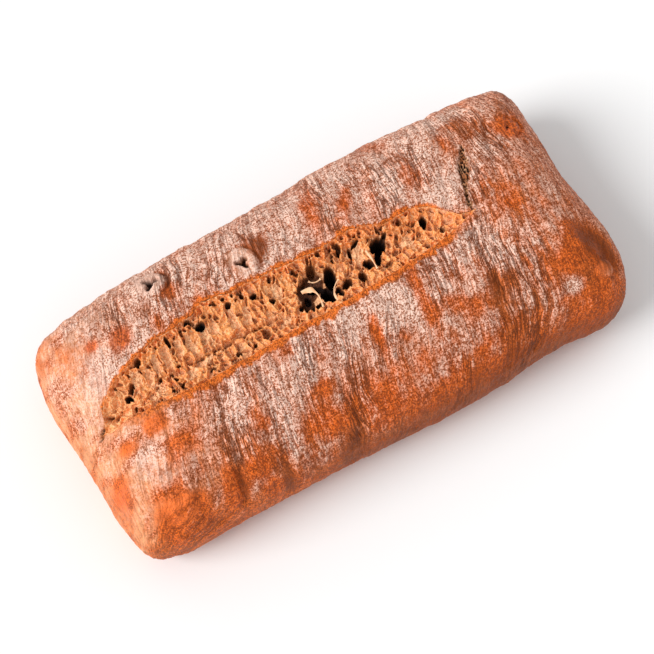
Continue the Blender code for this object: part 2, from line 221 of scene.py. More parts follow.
# Dark patches: scorched crust, and painted shade in creases of the near side, in the concavity at
# the right end and low along the near side.
DARK_PATCHES = (
    (-17.4, 31, 6.4, 4, 78, 1.5), (-21, 41, 8, 1.2, 88, 0.6), (104, -38, 10, 6.5, -70, 1.7),
    (-72.6, -54, 9, 2.2, 88, 0.8), (-54.4, -64, 12, 2.8, 89, 0.8), (-25, -68, 13, 5, 88, 0.9),
    (-20.4, -51, 7, 1, 89, 0.6), (-41, -55, 18, 3, 88, 0.35), (54, -34, 7, 3.4, 70, 0.75),
    (56, -52, 20, 6, 74, 0.45), (-12, -38, 7, 4, 60, 0.4), (82, 34, 12, 7, 80, 0.35),
    (40, -66, 52, 10, 0, 0.35), (95, -46, 14, 10, 0, 0.4), (-90, -62, 10, 3, -66, 0.45),
    (-57, 38, 6, 1, 74, 0.5), (-68.6, 44, 5, 0.8, 84, 0.5), (20, -36, 30, 6, 0, 0.15),
    (-28, -38, 9, 5, 0, 0.35), (33, -60, 8, 3, 80, 0.35),
)
FLOUR_PATCHES = (
    (15, -20.5, 10, 8.4, 80, 0.75), (-4, -17, 7, 6, 80, 0.55), (57, -11, 5.6, 4.6, 0, 0.65),
    (62, -21, 11, 4.6, 74, 0.45), (38, -15, 7, 5, 0, 0.3), (-62, -24, 9, 6, 60, 0.4),
    (-28, -22, 9, 4.4, 76, 0.6), (-11, -22, 9, 5, 76, 0.4), (-101, -23, 8, 5, 40, 0.5),
    (-95, -34, 8, 5, 0, 0.3), (-48, -37, 12, 3.6, 84, 0.45), (-36, -24, 12, 3, 78, 0.25),
    (84.6, -48, 4.8, 3.6, 10, 1.1), (92, -58, 5, 4, 0, 0.35), (20, -52, 7, 4, 0, 0.25),
    (-15, 25, 14, 7, 20, 0.35), (42, 26, 13, 5, 68, 0.5), (60, 33, 10, 5, 66, 0.4),
    (60, 12, 9, 6, 30, 0.55), (77, 47, 16, 4.6, -6, 0.7), (-63.6, 43, 7, 6.6, 0, 0.55),
    (-38, 25, 6, 5, 40, 0.4), (-84, 17.5, 9, 3.4, 20, 0.45), (-98, 17, 9, 8, 60, 0.55),
    (-30, 42, 40, 7, 0, 0.2), (24, 44, 34, 7, 0, 0.2), (88, 22, 7, 9, 90, 0.3),
)

# Grids: rows up the side below and above the widest line, how closely rows gather at the lips,
# rows across the base, and columns and rows of the crumb, which runs on under the lips.
SIDE_ROWS = (19, 35)
GATHER_POWER = 1.4
BASE_ROWS = 81
CRUMB_COLUMNS = 801
CRUMB_ROWS = 113
CRUMB_OVERLAP = 0.7
# Flour on plain crust, what the far side adds, and what the low sides, the right, left and near
# left parts, and the bare, dark and red patches take away; painted shade on the low sides.
FLOUR_PLAIN = 0.56
FLOUR_FAR = 0.08
FLOUR_LOW = 0.98
FLOUR_RIGHT = 0.26
FLOUR_LEFT = 0.20
FLOUR_NEAR_LEFT = 0.16
FLOUR_BARE = 0.68
FLOUR_DARK = 0.50
FLOUR_RED = 0.60
LOW_SIDE_SHADE = 0.95
CRUST_TONES = ("flour", "bare", "red", "dark", "bundle", "toast", "pale", "torn", "hole")
# Distance from the lips given to crust that runs to none.
FAR_AWAY = 99.0
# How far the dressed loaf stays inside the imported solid's box.
BOX_MARGIN = 0.05
MILLIMETRES = 1000.0

FLOOR_SIZE = 6.0
CAMERA_TARGET = (-0.0054, -0.0025, 0.0258)
SENSOR_WIDTH = 36.0

TABLE = np.random.default_rng(11).permutation(256)
ANGLES = np.random.default_rng(12).uniform(0.0, 2.0 * math.pi, 256)
SHARES = np.random.default_rng(13).uniform(0.0, 1.0, (3, 256))
FIT = {}


# ---------------------------------------------------------------- numbers and noise


def held(value):
    """A value held from 0 to 1."""
    return np.clip(value, 0.0, 1.0)


def smooth_step(value):
    """0 below 0, 1 above 1, and three squares less two cubes between."""
    share = held(value)
    return share * share * (3.0 - 2.0 * share)


def bell(offset):
    """1 at no offset, falling away as the exponential of minus its square."""
    return np.exp(-(offset**2))


def hashed(across, along, seed):
    """A table number for whole-number places: the table read at one, the other added to it,
    and the table read again."""
    return TABLE[(TABLE[(across + seed) & 255] + along) & 255]


def ripple(x, y, seed):
    """Gradient noise, about -1 to 1: each corner's direction dotted with the offset from it,
    eased between the corners."""
    x, y = np.broadcast_arrays(x, y)
    left, low = np.floor(x), np.floor(y)
    share_x, share_y = x - left, y - low
    left, low = left.astype(np.int64), low.astype(np.int64)
    ease_x = share_x**3 * (share_x * (share_x * 6.0 - 15.0) + 10.0)
    ease_y = share_y**3 * (share_y * (share_y * 6.0 - 15.0) + 10.0)
    total = np.zeros_like(share_x)
    for step_x in (0, 1):
        for step_y in (0, 1):
            angle = ANGLES[hashed(left + step_x, low + step_y, seed)]
            reach = np.cos(angle) * (share_x - step_x) + np.sin(angle) * (share_y - step_y)
            weight_x = ease_x if step_x else 1.0 - ease_x
            weight_y = ease_y if step_y else 1.0 - ease_y
            total += weight_x * weight_y * reach
    return total * 1.5


def ripples(x, y, seed, layers=3):
    """Gradient noise added to itself at twice the fineness and half the height, layer by layer."""
    total = np.zeros_like(x)
    for layer in range(layers):
        total += ripple(x * 2.0**layer, y * 2.0**layer, seed + 17 * layer) / 2.0**layer
    return total


def cells(x, y, seed):
    """Scattered centres, one in each unit square: the gap between the distances to the nearest
    and the next (nothing on a wall between two cells), and the nearest one's random share."""
    left, low = np.floor(x).astype(np.int64), np.floor(y).astype(np.int64)
    nearest = np.full_like(x, 9.0)
    second = np.full_like(x, 9.0)
    share = np.zeros_like(x)
    for step_x in (-1, 0, 1):
        for step_y in (-1, 0, 1):
            pick = hashed(left + step_x, low + step_y, seed)
            centre_x = left + step_x + 0.5 + 0.85 * (SHARES[0][pick] - 0.5)
            centre_y = low + step_y + 0.5 + 0.85 * (SHARES[1][pick] - 0.5)
            away = np.hypot(x - centre_x, y - centre_y) / (0.75 + 0.5 * SHARES[2][pick])
            closer = away < nearest
            second = np.where(closer, nearest, np.minimum(second, away))
            share = np.where(closer, SHARES[2][(pick + 91) & 255], share)
            nearest = np.where(closer, away, nearest)
    return second - nearest, share


def turned(x, y, ellipse):
    """Offsets from an ellipse's centre, turned to its axes and divided by its half sizes."""
    centre_x, centre_y, half_long, half_wide, turn = ellipse
    cos, sin = math.cos(math.radians(turn)), math.sin(math.radians(turn))
    along = ((x - centre_x) * cos + (y - centre_y) * sin) / half_long
    across = ((y - centre_y) * cos - (x - centre_x) * sin) / half_wide
    return along, across


def patches(x, y, table):
    """Sum of soft turned ellipses: each a flat-topped bell of its turned offsets."""
    total = np.zeros_like(x)
    for *ellipse, amount in table:
        along, across = turned(x, y, ellipse)
        total += amount * np.exp(-((along**2 + across**2) ** 1.3))
    return total


def off_line(x, y, line):
    """(distance from a straight line, share of the way along it) for a line of two places."""
    start_x, start_y, end_x, end_y = line
    run_x, run_y = end_x - start_x, end_y - start_y
    share = ((x - start_x) * run_x + (y - start_y) * run_y) / (run_x**2 + run_y**2)
    along = held(share)
    return np.hypot(x - start_x - along * run_x, y - start_y - along * run_y), share


# ---------------------------------------------------------------- the plain loaf


def swell(place, swells):
    """Sum of bell-shaped swells along an edge."""
    total = np.zeros_like(place)
    for centre, spread, amount in swells:
        total += amount * bell((place - centre) / spread)
    return total


def contour(along, across, level):
    """A place on the square, carried to the loaf's plan: past each shoulder the place is pulled
    in to a squarish power curve of the given level (0 at the crown, 1 at the outline)."""
    reach = np.array([HALF_LENGTH, HALF_WIDTH])
    shoulder = np.array([SHOULDER_LENGTH, SHOULDER_WIDTH])
    place = np.stack([along, across], axis=-1) * reach
    turn = np.clip(1.0 - (reach - np.abs(place)) / shoulder, 0.0, None)
    power = CROWN_POWER + (CORNER_POWER - CROWN_POWER) * smooth_step(turn.max(axis=-1))
    norm = (turn ** power[..., None]).sum(axis=-1) ** (1.0 / power)
    pull = np.where(norm > 0.0, level / np.maximum(norm, 1e-9), 1.0)
    moved = reach - shoulder + shoulder * turn * pull[..., None]
    place = np.where(turn > 0.0, np.sign(place) * moved, place)
    outward = np.sign(np.stack([along, across], axis=-1)) * turn ** (CORNER_POWER - 1.0)
    outward /= np.maximum(np.linalg.norm(outward, axis=-1, keepdims=True), 1e-9)
    return place[..., 0], place[..., 1], outward


def side_profile(share):
    """(level, rise or fall) of the side for a share of the way up: a quarter turn from the
    shoulder down to the widest line, and from there in and down to the base."""
    power = 2.0 / ROUND_POWER
    angle = SHOULDER_ANGLE * held((share - WIDEST_SHARE) / (1.0 - WIDEST_SHARE))
    lower = held((WIDEST_SHARE - share) / WIDEST_SHARE) * BASE_END_ANGLE
    tuck = BASE_TUCK * (1.0 - np.cos(lower)) / (1.0 - math.cos(BASE_END_ANGLE))
    drop = np.sin(lower) / math.sin(BASE_END_ANGLE)
    below = share < WIDEST_SHARE
    level = np.where(below, 1.0 - tuck / SHOULDER_WIDTH, np.cos(angle) ** power)
    return level, np.where(below, drop, np.sin(angle) ** power), below


def drift(x, y, z):
    """The outline pushed in and out by its swells, with the ends leaning."""
    near = np.clip(-y / HALF_WIDTH, 0.0, 1.2) ** 1.5
    far = np.clip(y / HALF_WIDTH, 0.0, 1.2) ** 1.5
    left = np.clip(-x / HALF_LENGTH, 0.0, 1.2) ** 3
    right = np.clip(x / HALF_LENGTH, 0.0, 1.2) ** 3
    new_y = y - near * swell(x, NEAR_SWELLS) + far * swell(x, FAR_SWELLS)
    new_x = x - left * swell(y, LEFT_SWELLS) + right * swell(y, RIGHT_SWELLS) + SKEW * y
    return np.stack([new_x, new_y, z], axis=-1)


def loaf_place(along, across, share, centred=True):
    """Places on the plain loaf for square places (-1 to 1) and a share up the side (1 on top),
    and the flattened places: the plan, spread outward by the distance run down the side."""
    along, across, share = np.broadcast_arrays(along, across, share)
    power = 2.0 / ROUND_POWER
    shoulder_level = math.cos(SHOULDER_ANGLE) ** power
    turn_x = 1.0 - (1.0 - np.abs(along)) * HALF_LENGTH / SHOULDER_LENGTH
    turn_y = 1.0 - (1.0 - np.abs(across)) * HALF_WIDTH / SHOULDER_WIDTH
    furthest = held(np.maximum(turn_x, turn_y))
    top_level = shoulder_level * furthest
    top_rise = (1.0 - top_level**ROUND_POWER) ** (1.0 / ROUND_POWER)
    on_side = (share < 1.0 - 1e-9) & (furthest > 1.0 - 1e-9)
    side_level, side_rise, below = side_profile(share)
    below = below & on_side
    level = np.where(on_side, side_level, top_level)
    rise = np.where(on_side, side_rise, top_rise)
    x, y, outward = contour(along, across, level)
    crown = HEIGHT * (1.0 - END_DROP * (x / HALF_LENGTH) ** 2) - WIDEST_HEIGHT
    z = np.where(below, WIDEST_HEIGHT * (1.0 - rise), WIDEST_HEIGHT + crown * rise)
    points = drift(x, y, z)

    steps = np.linspace(0.0, 1.0, 200)
    step_level, step_rise, step_below = side_profile(steps)
    step_z = np.where(
        step_below,
        WIDEST_HEIGHT * (1.0 - step_rise),
        WIDEST_HEIGHT + (HEIGHT - WIDEST_HEIGHT) * step_rise,
    )
    run = np.hypot(np.diff(step_level) * SHOULDER_WIDTH, np.diff(step_z))
    run_up = np.concatenate([[0.0], np.cumsum(run)])
    down = np.where(on_side, run_up[-1] - np.interp(share, steps, run_up), 0.0)
    rim_x, rim_y, _ = contour(along, across, np.where(on_side, shoulder_level, level))
    rim = drift(rim_x, rim_y, z)[..., :2]
    flat = rim + outward * down[..., None]
    if centred:
        centre = loaf_centre()
        points = points - np.array([centre[0], centre[1], 0.0])
        flat = flat - centre
    return points, flat


def loaf_centre():
    """Middle of the plain loaf's plan, from the widest line all round."""
    if "centre" not in FIT:
        edge = np.linspace(-1.0, 1.0, 801)
        whole = np.ones_like(edge)
        along = np.concatenate([edge, edge, whole, -whole])
        across = np.concatenate([whole, -whole, edge, edge])
        rim, _ = loaf_place(along, across, np.full_like(along, WIDEST_SHARE), False)
        FIT["centre"] = (rim[:, :2].min(axis=0) + rim[:, :2].max(axis=0)) / 2.0
    return FIT["centre"]


# ---------------------------------------------------------------- the gash


def lips(x):
    """(near lip, far lip, openness) across the loaf at a place along it: a nearly straight near
    lip that turns in at both ends, and a far lip that stands off by a rounded, leaning arch
    with swells of its own, cut short near its right end."""
    along = held((x - GASH_LEFT) / (GASH_RIGHT - GASH_LEFT))
    arch = np.sin(math.pi * along ** (math.log(0.5) / math.log(GASH_FULLEST)))
    width = GASH_WIDTH * np.sqrt(held(arch))
    step = 1.0 - smooth_step((x - GASH_STEP_PLACE) / GASH_STEP_LENGTH)
    opening = smooth_step((x - GASH_LEFT - 4.4) / 4.5) * smooth_step((1.0 - along) / 0.02)
    width = np.maximum(width + step * swell(x, GASH_FAR_SWELLS), 0.12 * width) * opening
    width = width * (1.0 - 0.75 * smooth_step((x - GASH_END_PLACE) / GASH_END_LENGTH))
    tear = 0.40 * ripples(x / 7.0, x * 0.0, 31) + 0.28 * ripple(x / 1.7, x * 0.0, 37)
    near = GASH_NEAR_LINE + GASH_RIGHT_RISE * along**8
    near = near + GASH_LEFT_RISE * (1.0 - smooth_step(along / 0.3)) + 0.9 * opening * tear
    near = near + 3.2 * (1.0 - smooth_step((x - GASH_LEFT) / 9.0))
    wander = 0.9 * ripples(x / 9.0, x * 0.0 + 4.0, 41) + 0.4 * ripple(x / 1.9, x * 0.0, 43)
    far = near + np.clip(width + opening * wander, 0.0, None)
    return near, far, opening


def lip_rows(along, spread=0.0):
    """Square places across of the near and far lips (moved apart by spread) for each place
    along, by halving the stretch in which the loaf's own Y passes the lip's."""
    rows = []
    for which, shift in ((0, -spread), (1, spread)):
        low, high = np.full_like(along, -0.9), np.full_like(along, 0.9)
        for _ in range(34):
            middle = (low + high) / 2.0
            points, _ = loaf_place(along, middle, np.ones_like(along))
            beyond = points[..., 1] > lips(points[..., 0])[which] + shift
            high = np.where(beyond, middle, high)
            low = np.where(beyond, low, middle)
        rows.append((low + high) / 2.0)
    return rows


def torn_depth(x, y, table, sharpness=0.55):
    """(depth, painted shade) of torn cells: each a turned ellipse with a slightly ragged rim,
    which falls from 1.05 of its size in to the given sharpness; the deepest counts where two meet."""
    ragged = 0.16 * ripple(x / 1.7, y / 1.7, 53) + 0.10 * ripple(x / 0.8, y / 0.8, 57)
    deepest, darkest = np.zeros_like(x), np.zeros_like(x)
    for *ellipse, depth, dark in table:
        along, across = turned(x, y, ellipse)
        out = np.hypot(along, across) + ragged * min(1.0, 2.0 / ellipse[2])
        fall = 1.0 - smooth_step((out - sharpness) / (1.05 - sharpness))
        deepest = np.maximum(deepest, depth * fall)
        darkest = np.maximum(darkest, dark * smooth_step((1.05 - out) / 0.2))
    return deepest, darkest


def crumb_cells(x, y):
    """How far bubble cells of three sizes are sunk, the large and middling ones' own shares,
    and the middling ones' gap. Each sort sinks inward from its walls by a share of its own, on
    bent coordinates; on the left, tall cells take the large ones' place."""
    bend_x = x - 0.12 * y + 1.3 * ripple(x / 4.5, y / 4.5, 62)
    bend_y = y + 1.3 * ripple(x / 4.5, y / 4.5, 63)
    tall = (y > 3.0) & (x < -14.0)
    gap_wide, own_wide = cells(bend_x / 4.0, bend_y / 4.2, 64)
    gap_tall, own_tall = cells(bend_x / 3.8, bend_y / 7.5, 68)
    gap_large, own_large = np.where(tall, gap_tall, gap_wide), np.where(tall, own_tall, own_wide)
    gap_middling, own_middling = cells(bend_x / 1.9, bend_y / 2.3, 71)
    gap_small, own_small = cells(bend_x / 0.9, bend_y / 1.05, 77)
    large = smooth_step(gap_large / 0.30) * (0.35 + 0.65 * own_large)
    middling = smooth_step(gap_middling / 0.40) * held(1.5 * own_middling - 0.2)
    middling = middling * (1.0 - 0.6 * tall * (own_large > 0.4))
    small = smooth_step(gap_small / 0.45) * held(2.0 * own_small - 0.6)
    return large, middling, small, own_large, own_middling, gap_middling


def crumb_surface(x, y, near, far, opening):
    """Relief and tones of the crumb. The floor drops a little behind the near lip, more
    further in, and climbs slowly to the far one; bubble cells of three sizes and broad pockets
    sink between thin walls; torn cells go deep; a ledge runs along the left half. Tones:
    wall (1 on a wall), pocket (the smooth floors of broad cells), toast (browned near the
    lips), deep (painted shade in the torn cells, the small holes and the ditch by the ledge)
    and own (each cell's own shade)."""
    width = np.maximum(far - near, 0.4)
    from_near, from_far = y - near, far - y
    inside = np.minimum(from_near, from_far)
    share = held(from_near / width)
    open_depth = smooth_step(width / 15.0)
    far_wall = smooth_step((1.0 - share) / 0.48)
    floor = 1.1 * smooth_step(from_near / 1.6) + 3.0 * smooth_step(from_near / 9.0)
    floor = -open_depth * floor * far_wall
    floor = floor + 0.7 * open_depth * far_wall * ripple(x / 8.0, y / 7.0, 61)
    ledge_length = smooth_step((x + 70.0) / 6.0) * smooth_step((-24.0 - x) / 8.0)
    ledge_line = 3.6 - 0.04 * (x + 50.0) + 0.5 * ripple(x / 6.0, y * 0.0, 65)
    ledge = bell((y - ledge_line) / 0.9) * ledge_length
    ditch = bell((y - ledge_line + 1.7) / 0.6) * ledge_length

    large, middling, small, own_large, own_middling, gap = crumb_cells(x, y)
    calm = smooth_step(inside / 1.1)
    pull_x, pull_y = ripple(x / 2.6, y / 2.6, 91), ripple(x / 2.6, y / 2.6, 93)
    plain_pockets = [row + (0.0,) for row in POCKETS]
    pocket, _ = torn_depth(x + 1.1 * pull_x, y + 1.6 * pull_y, plain_pockets, 0.6)
    pocket = pocket * (0.8 + 0.3 * ripple(x / 3.0, y / 1.5, 95))
    torn, darkness = torn_depth(x, y, TORN_CELLS)
    well_in = smooth_step(inside / 0.7)
    pocket, torn, darkness = pocket * calm, torn * well_in, darkness * well_in
    plain = 1.0 - 0.75 * smooth_step(pocket / 1.4)
    holes = smooth_step((own_middling - 0.60) / 0.12) * smooth_step((gap - 0.16) / 0.14) * plain
    edges = 0.35 + 0.65 * np.maximum(bell(from_far / 8.0), bell(from_near / 3.0))
    holes = holes * edges * (1.0 - 0.6 * smooth_step((x - 44.0) / 8.0))
    sunk = plain * (CELL_DEPTHS[0] * large + CELL_DEPTHS[1] * middling) + CELL_DEPTHS[2] * small
    sunk = sunk + DITCH_DEPTH * ditch + HOLE_DEPTH * holes
    relief = floor - calm * sunk - np.maximum(pocket, torn) + 1.1 * ledge * calm
    relief = relief + 0.14 * ripple(x / 0.6, y / 0.6, 81) * calm
    far_side = from_far < from_near
    lift = np.where(far_side, LIP_LIFT[1], LIP_LIFT[0]) * bell(LIFT_PLACE / LIFT_SPREAD)
    lip_level = lift - np.where(far_side, LIP_ROLL[1], LIP_ROLL[0]) - 0.06
    relief = relief + lip_level * opening * bell(np.clip(inside, 0.0, None) / 1.2)
    relief = relief - 1.5 * smooth_step(-inside / 0.6)

    wall = (1.0 - large) * 0.50 + (1.0 - middling) * 0.34 + (1.0 - small) * 0.16
    wall = wall * (1.0 - 0.6 * smooth_step(pocket / 1.0))
    uneven = 1.0 + 0.5 * ripples(x / 5.0, y / 5.0, 87)
    band = 4.0 + 1.6 * smooth_step((x + 30.0) / 20.0)
    toast = bell(from_near / (1.7 * uneven)) + bell(from_far / (band * uneven)) + 0.5 * ledge
    toast = toast + 0.45 * smooth_step(ripples(x / 9.0, y / 6.0, 89) * 1.4)
    toast = toast * (1.0 - 0.75 * smooth_step((x - 44.0) / 8.0))
    tip = smooth_step((-90.0 - x) / 8.0) * smooth_step(from_far / 2.5)
    toast = toast * (1.0 - 0.85 * tip)
    tones = {
        "wall": wall * (1.0 - smooth_step(torn / 2.0)),
        "pocket": (smooth_step((pocket - 0.7) / 0.8) + tip) * (1.0 - smooth_step(torn / 1.5)),
        "toast": held(toast),
        # Deep: painted shade in the torn cells, the small holes and the ditch.
        "deep": held(np.maximum(darkness, 0.46 * holes * calm) + 0.3 * ditch),
        "own": held(
            own_large * 0.5 + own_middling * 0.3 + 0.6 * smooth_step(pocket / 1.2) + 0.5 * tip
        ),
    }
    return relief, tones


# ---------------------------------------------------------------- the crust


def across_wrinkles(x, y):
    """Place across the wrinkles, on the flattened crust: X less a lean times Y. The lean grows
    at the left end, turns over at the far right corner and fans out down the near side."""
    lean = 0.29 + 0.10 * smooth_step((-62.0 - x) / 45.0)
    lean = lean - 0.36 * smooth_step((x - 74.0) / 16.0) * smooth_step((y - 4.0) / 22.0)
    down = np.clip(-y - 42.0, 0.0, None)
    fan = (0.20 - 0.0020 * x - 0.55 * smooth_step((-70.0 - x) / 34.0)) * down
    bend = 2.4 * ripple(x / 40.0, y / 30.0, 101) + 1.0 * ripple(x / 13.0, y / 12.0, 102)
    return x - lean * y - fan + bend


def broad_waves(x, y, z):
    """Low wrinkles across the loaf, bent by slow waves, and broad dimples."""
    x, y = x * 0.001, y * 0.001
    lean = x - 0.25 * y + 0.0035 * np.sin(y * 55.0 + x * 20.0)
    lean = lean + 0.0030 * np.sin(x * 61.0 + 2.0) + 0.0016 * np.sin(x * 143.0 + y * 24.0)
    relief = np.zeros_like(x)
    for spacing, height, start in ((0.0093, 0.34, 0.3), (0.0137, 0.30, 1.7), (0.0221, 0.32, 4.1)):
        wave = np.sin(2.0 * math.pi * lean / spacing + start + 1.5 * np.sin(y * 70.0 + start))
        fade = 0.6 + 0.4 * np.sin(x * 47.0 + start) * np.sin(y * 52.0 + x * 31.0 + start)
        relief += height * fade * (wave - 0.35 * wave**2)
    relief += 0.45 * np.sin(x * 130.0 + 1.0) * np.sin(y * 150.0 + x * 60.0 + 2.0)
    return relief * (0.45 + 0.55 * smooth_step((z - 24.0) / 22.0))


def blister_surface(x, y):
    """Raised blisters, each a flat-topped bell in a shallow moat, with a torn star at its top:
    (relief, the star's tone, which paints shade in it, the dome's, the moat's painted shade, and
    the dome's flour)."""
    relief = np.zeros_like(x)
    hole_tone = np.zeros_like(x)
    dome_tone = np.zeros_like(x)
    moat_shade = np.zeros_like(x)
    white = np.zeros_like(x)
    for centre_x, centre_y, half_x, half_y, height, star, depth, dusted in BLISTERS:
        out = np.hypot((x - centre_x) / half_x, (y - centre_y) / half_y)
        out = out + 0.07 * ripple(x / 3.0, y / 3.0, 119)
        dome = np.exp(-(out**4))
        moat = bell((out - 1.18) / 0.14)
        # The moat is kept to its right-hand side, away from the light, where its tone paints
        # shade.
        side = (x - centre_x) / np.maximum(np.hypot(x - centre_x, y - centre_y), 0.1)
        moat *= smooth_step(0.45 + 0.45 * side + 0.5 * ripple(x / 3.0, y / 3.0, 117))
        relief += height * dome - 1.1 * moat
        dome_tone = np.maximum(dome_tone, dome * smooth_step((height - 0.9) / 0.2))
        white += dusted * dome
        moat_shade = np.maximum(moat_shade, moat * smooth_step(height - 0.8))
        if star > 0.0:
            off_x, off_y = x - centre_x - STAR_SHIFT[0], y - centre_y - STAR_SHIFT[1]
            turn = np.arctan2(off_y, off_x)
            reach = star * (1.0 + 0.42 * np.cos(3.0 * turn + centre_x) + 0.15 * np.cos(5.0 * turn))
            away = np.hypot(off_x, off_y) / reach
            hole = 1.0 - smooth_step((away - 0.72) / 0.4)
            relief -= depth * hole + 0.6 * bell(away / 2.0) * dome
            hole_tone = np.maximum(hole_tone, hole)
    return relief, hole_tone, dome_tone, moat_shade, white


def slit_surface(x, y):
    """Narrow tears beyond the gash, widest at their middles, with small bubble cells for a
    floor: (relief, tone of the tears, tone of their deep cells, which paints shade there)."""
    ragged = 0.6 * ripple(x / 2.4, y / 2.4, 121)
    torn = np.zeros_like(x)
    for *line, opens in SLITS:
        away, share = off_line(x, y, line)
        half = 0.4 + opens * bell((share - 0.45) / 0.32)
        inside = 1.0 - smooth_step((away + ragged - half * 0.6) / (half * 0.7))
        inside *= smooth_step((share + 0.06) / 0.06) * smooth_step((1.06 - share) / 0.06)
        torn = np.maximum(torn, inside)
    gap, own = cells(x / 1.3, y / 1.3, 123)
    sunk = smooth_step(gap / 0.4) * (0.3 + 0.7 * own)
    return -torn * (0.9 + 1.8 * sunk), torn, torn * smooth_step(sunk * 1.6)


def lip_surface(relief, x, y, lip_away, far_side, opening):
    """The crust's relief with the gash's lips, and their toasted tone. A lip is a low bell a
    little outside the edge, less a quarter circle that rolls down at it; the toasted band is
    ragged and crumbly, and fades at the right end and at the left of the near lip."""
    edge = lip_away + 0.7 * ripple(x / 1.3, y / 1.1, 155) + 1.5 * ripples(x / 6.0, y / 6.0, 156)
    tone = (1.0 - smooth_step((edge - 1.7 + 1.5 * far_side) / 1.9)) * opening
    tone = tone * (1.0 - 0.75 * smooth_step((x - 46.0) / 12.0))
    tone = tone * (1.0 - 0.8 * (1.0 - far_side) * smooth_step((-88.0 - x) / 12.0))
    reach = np.where(far_side > 0.5, LIP_ROLL[1], LIP_ROLL[0])
    rim = np.clip(1.0 - lip_away / reach, 0.0, 0.999)
    roll = 1.0 - np.sqrt(1.0 - rim**2)
    lift = np.where(far_side > 0.5, LIP_LIFT[1], LIP_LIFT[0]) * opening
    lift = lift * bell((lip_away - LIFT_PLACE) / LIFT_SPREAD)
    crumbs = 0.34 * ripple(x / 0.9, y / 0.8, 159) * tone
    return relief * (1.0 - 0.55 * tone) + lift + crumbs - reach * roll * opening, tone


def crust_surface(points, flat, lip_away, far_side, opening):
    """Relief of the crust in millimetres, its tones, and its stretched coordinates. lip_away
    is the distance outside the gash's lip, far_side 1 past its far lip, opening how far the
    gash is open. The relief is the broad waves, wrinkles in bundles, creases, blisters, tears
    and a lifted, rolled lip, added up."""
    x, y = flat[..., 0], flat[..., 1]
    z = points[..., 2]
    across = across_wrinkles(x, y)
    broad_puff = np.abs(ripple(across / 4.0, y / 26.0, 131))
    fine_puff = np.abs(ripple(across / 2.2, y / 12.0, 137))

    bare = patches(x, y, BARE_PATCHES) + 0.30 * ripples(x / 9.0, y / 9.0, 151)
    bare = smooth_step(bare * 0.95)
    left_end = smooth_step((-96.0 - x) / 16.0)
    right_end = smooth_step((x - 68.0) / 26.0)
    bundle = 0.30 + 0.40 * ripples(across / 15.0, y / 22.0, 153) + patches(x, y, BUNDLES)
    bundle = np.clip(bundle, 0.0, 1.1) * (1.0 - 0.75 * left_end) * (1.0 - 0.45 * bare)
    bundle = bundle * smooth_step(lip_away / 4.0)
    low_side = smooth_step((20.0 - z) / 18.0)
    bundle = bundle * (1.0 - 0.5 * low_side)

    relief = broad_waves(points[..., 0], points[..., 1], z)
    relief += bundle * (0.22 * (broad_puff - 0.35) + 0.16 * (fine_puff - 0.35))
    relief += 0.20 * ripples(x / 2.3, y / 2.3, 157) + 0.25 * ripple(x / 6.0, y / 6.0, 158)
    crease_shade = np.zeros_like(x)
    for *line, half, depth in CREASES:
        away, _ = off_line(x, y, line)
        fold = bell(away / half)
        relief -= depth * fold
        crease_shade = np.maximum(crease_shade, fold * min(depth, 1.0))
    blister, hole, dome, moat, white = blister_surface(x, y)
    slit, slit_tone, slit_cells = slit_surface(x, y)
    relief = relief * (1.0 - 0.8 * dome) * (1.0 - 0.8 * slit_tone) + blister + slit
    relief *= smooth_step(z / 9.0)

    relief, lip_tone = lip_surface(relief, x, y, lip_away, far_side, opening)

    # Paler crust and painted light at the left end, which faces the light; less low on the near
    # side.
    left_pale_and_lit = 0.7 * smooth_step((-62.0 - x) / 40.0) + 0.3 * left_end
    left_pale_and_lit = left_pale_and_lit * smooth_step((y + 68.0) / 26.0)
    low = (1.0 - smooth_step((z - 16.0) / 26.0)) * (0.5 + 0.5 * smooth_step((z - 6.0) / 12.0))
    near_left = smooth_step((-44.0 - x) / 30.0) * smooth_step((4.0 - y) / 12.0)
    flour = FLOUR_PLAIN + FLOUR_FAR * smooth_step((y - 16.0) / 8.0) - FLOUR_LOW * low
    flour = flour + patches(x, y, FLOUR_PATCHES)
    flour = flour - FLOUR_RIGHT * right_end - FLOUR_LEFT * left_end - FLOUR_NEAR_LEFT * near_left
    calm = 1.0 - 0.5 * left_pale_and_lit
    flour = flour + 0.20 * calm * ripples(x / 8.0, y / 11.0, 161)
    flour = flour + 0.12 * calm * ripple(across / 2.6, y / 8.0, 163)
    dark = patches(x, y, DARK_PATCHES)
    red = patches(x, y, RED_PATCHES)
    flour = flour - FLOUR_BARE * bare - FLOUR_DARK * held(dark) - FLOUR_RED * red
    flour = flour + calm * bundle * (0.07 + 0.25 * (broad_puff - 0.36) + 0.25 * (fine_puff - 0.36))
    flour = flour - 0.5 * crease_shade - 1.2 * lip_tone - hole + white - 0.7 * moat
    # Painted shade in the creases and in the blister moats.
    dark = dark + 0.25 * crease_shade + 0.8 * moat
    # Painted shade over the low sides, growing towards the right end, away from the light.
    dark = dark + LOW_SIDE_SHADE * low * smooth_step((x + 70.0) / 70.0)
    tones = {
        "flour": np.clip(flour, -0.5, 1.2),
        "bare": bare,
        "red": held(red),
        # Dark: scorched patches, and painted shade in creases, moats and on the low sides.
        "dark": held(dark),
        "bundle": held(bundle * calm),
        "toast": held(lip_tone * (0.80 + 1.1 * ripples(x / 2.6, y / 1.8, 171))),
        # Pale: paler crust with painted light at the left end, and the blister domes.
        "pale": held(left_pale_and_lit * held(0.72 + 0.9 * ripples(x / 16.0, y / 6.0, 173)) + dome),
        "torn": held(slit_tone),
        # Hole: painted shade in the torn stars and in the slits' deep cells.
        "hole": held(np.maximum(hole, 1.3 * slit_cells)),
    }
    stretch = np.stack([across * 0.1, y * 0.1, z * 0.0], axis=-1)
    return relief, tones, stretch


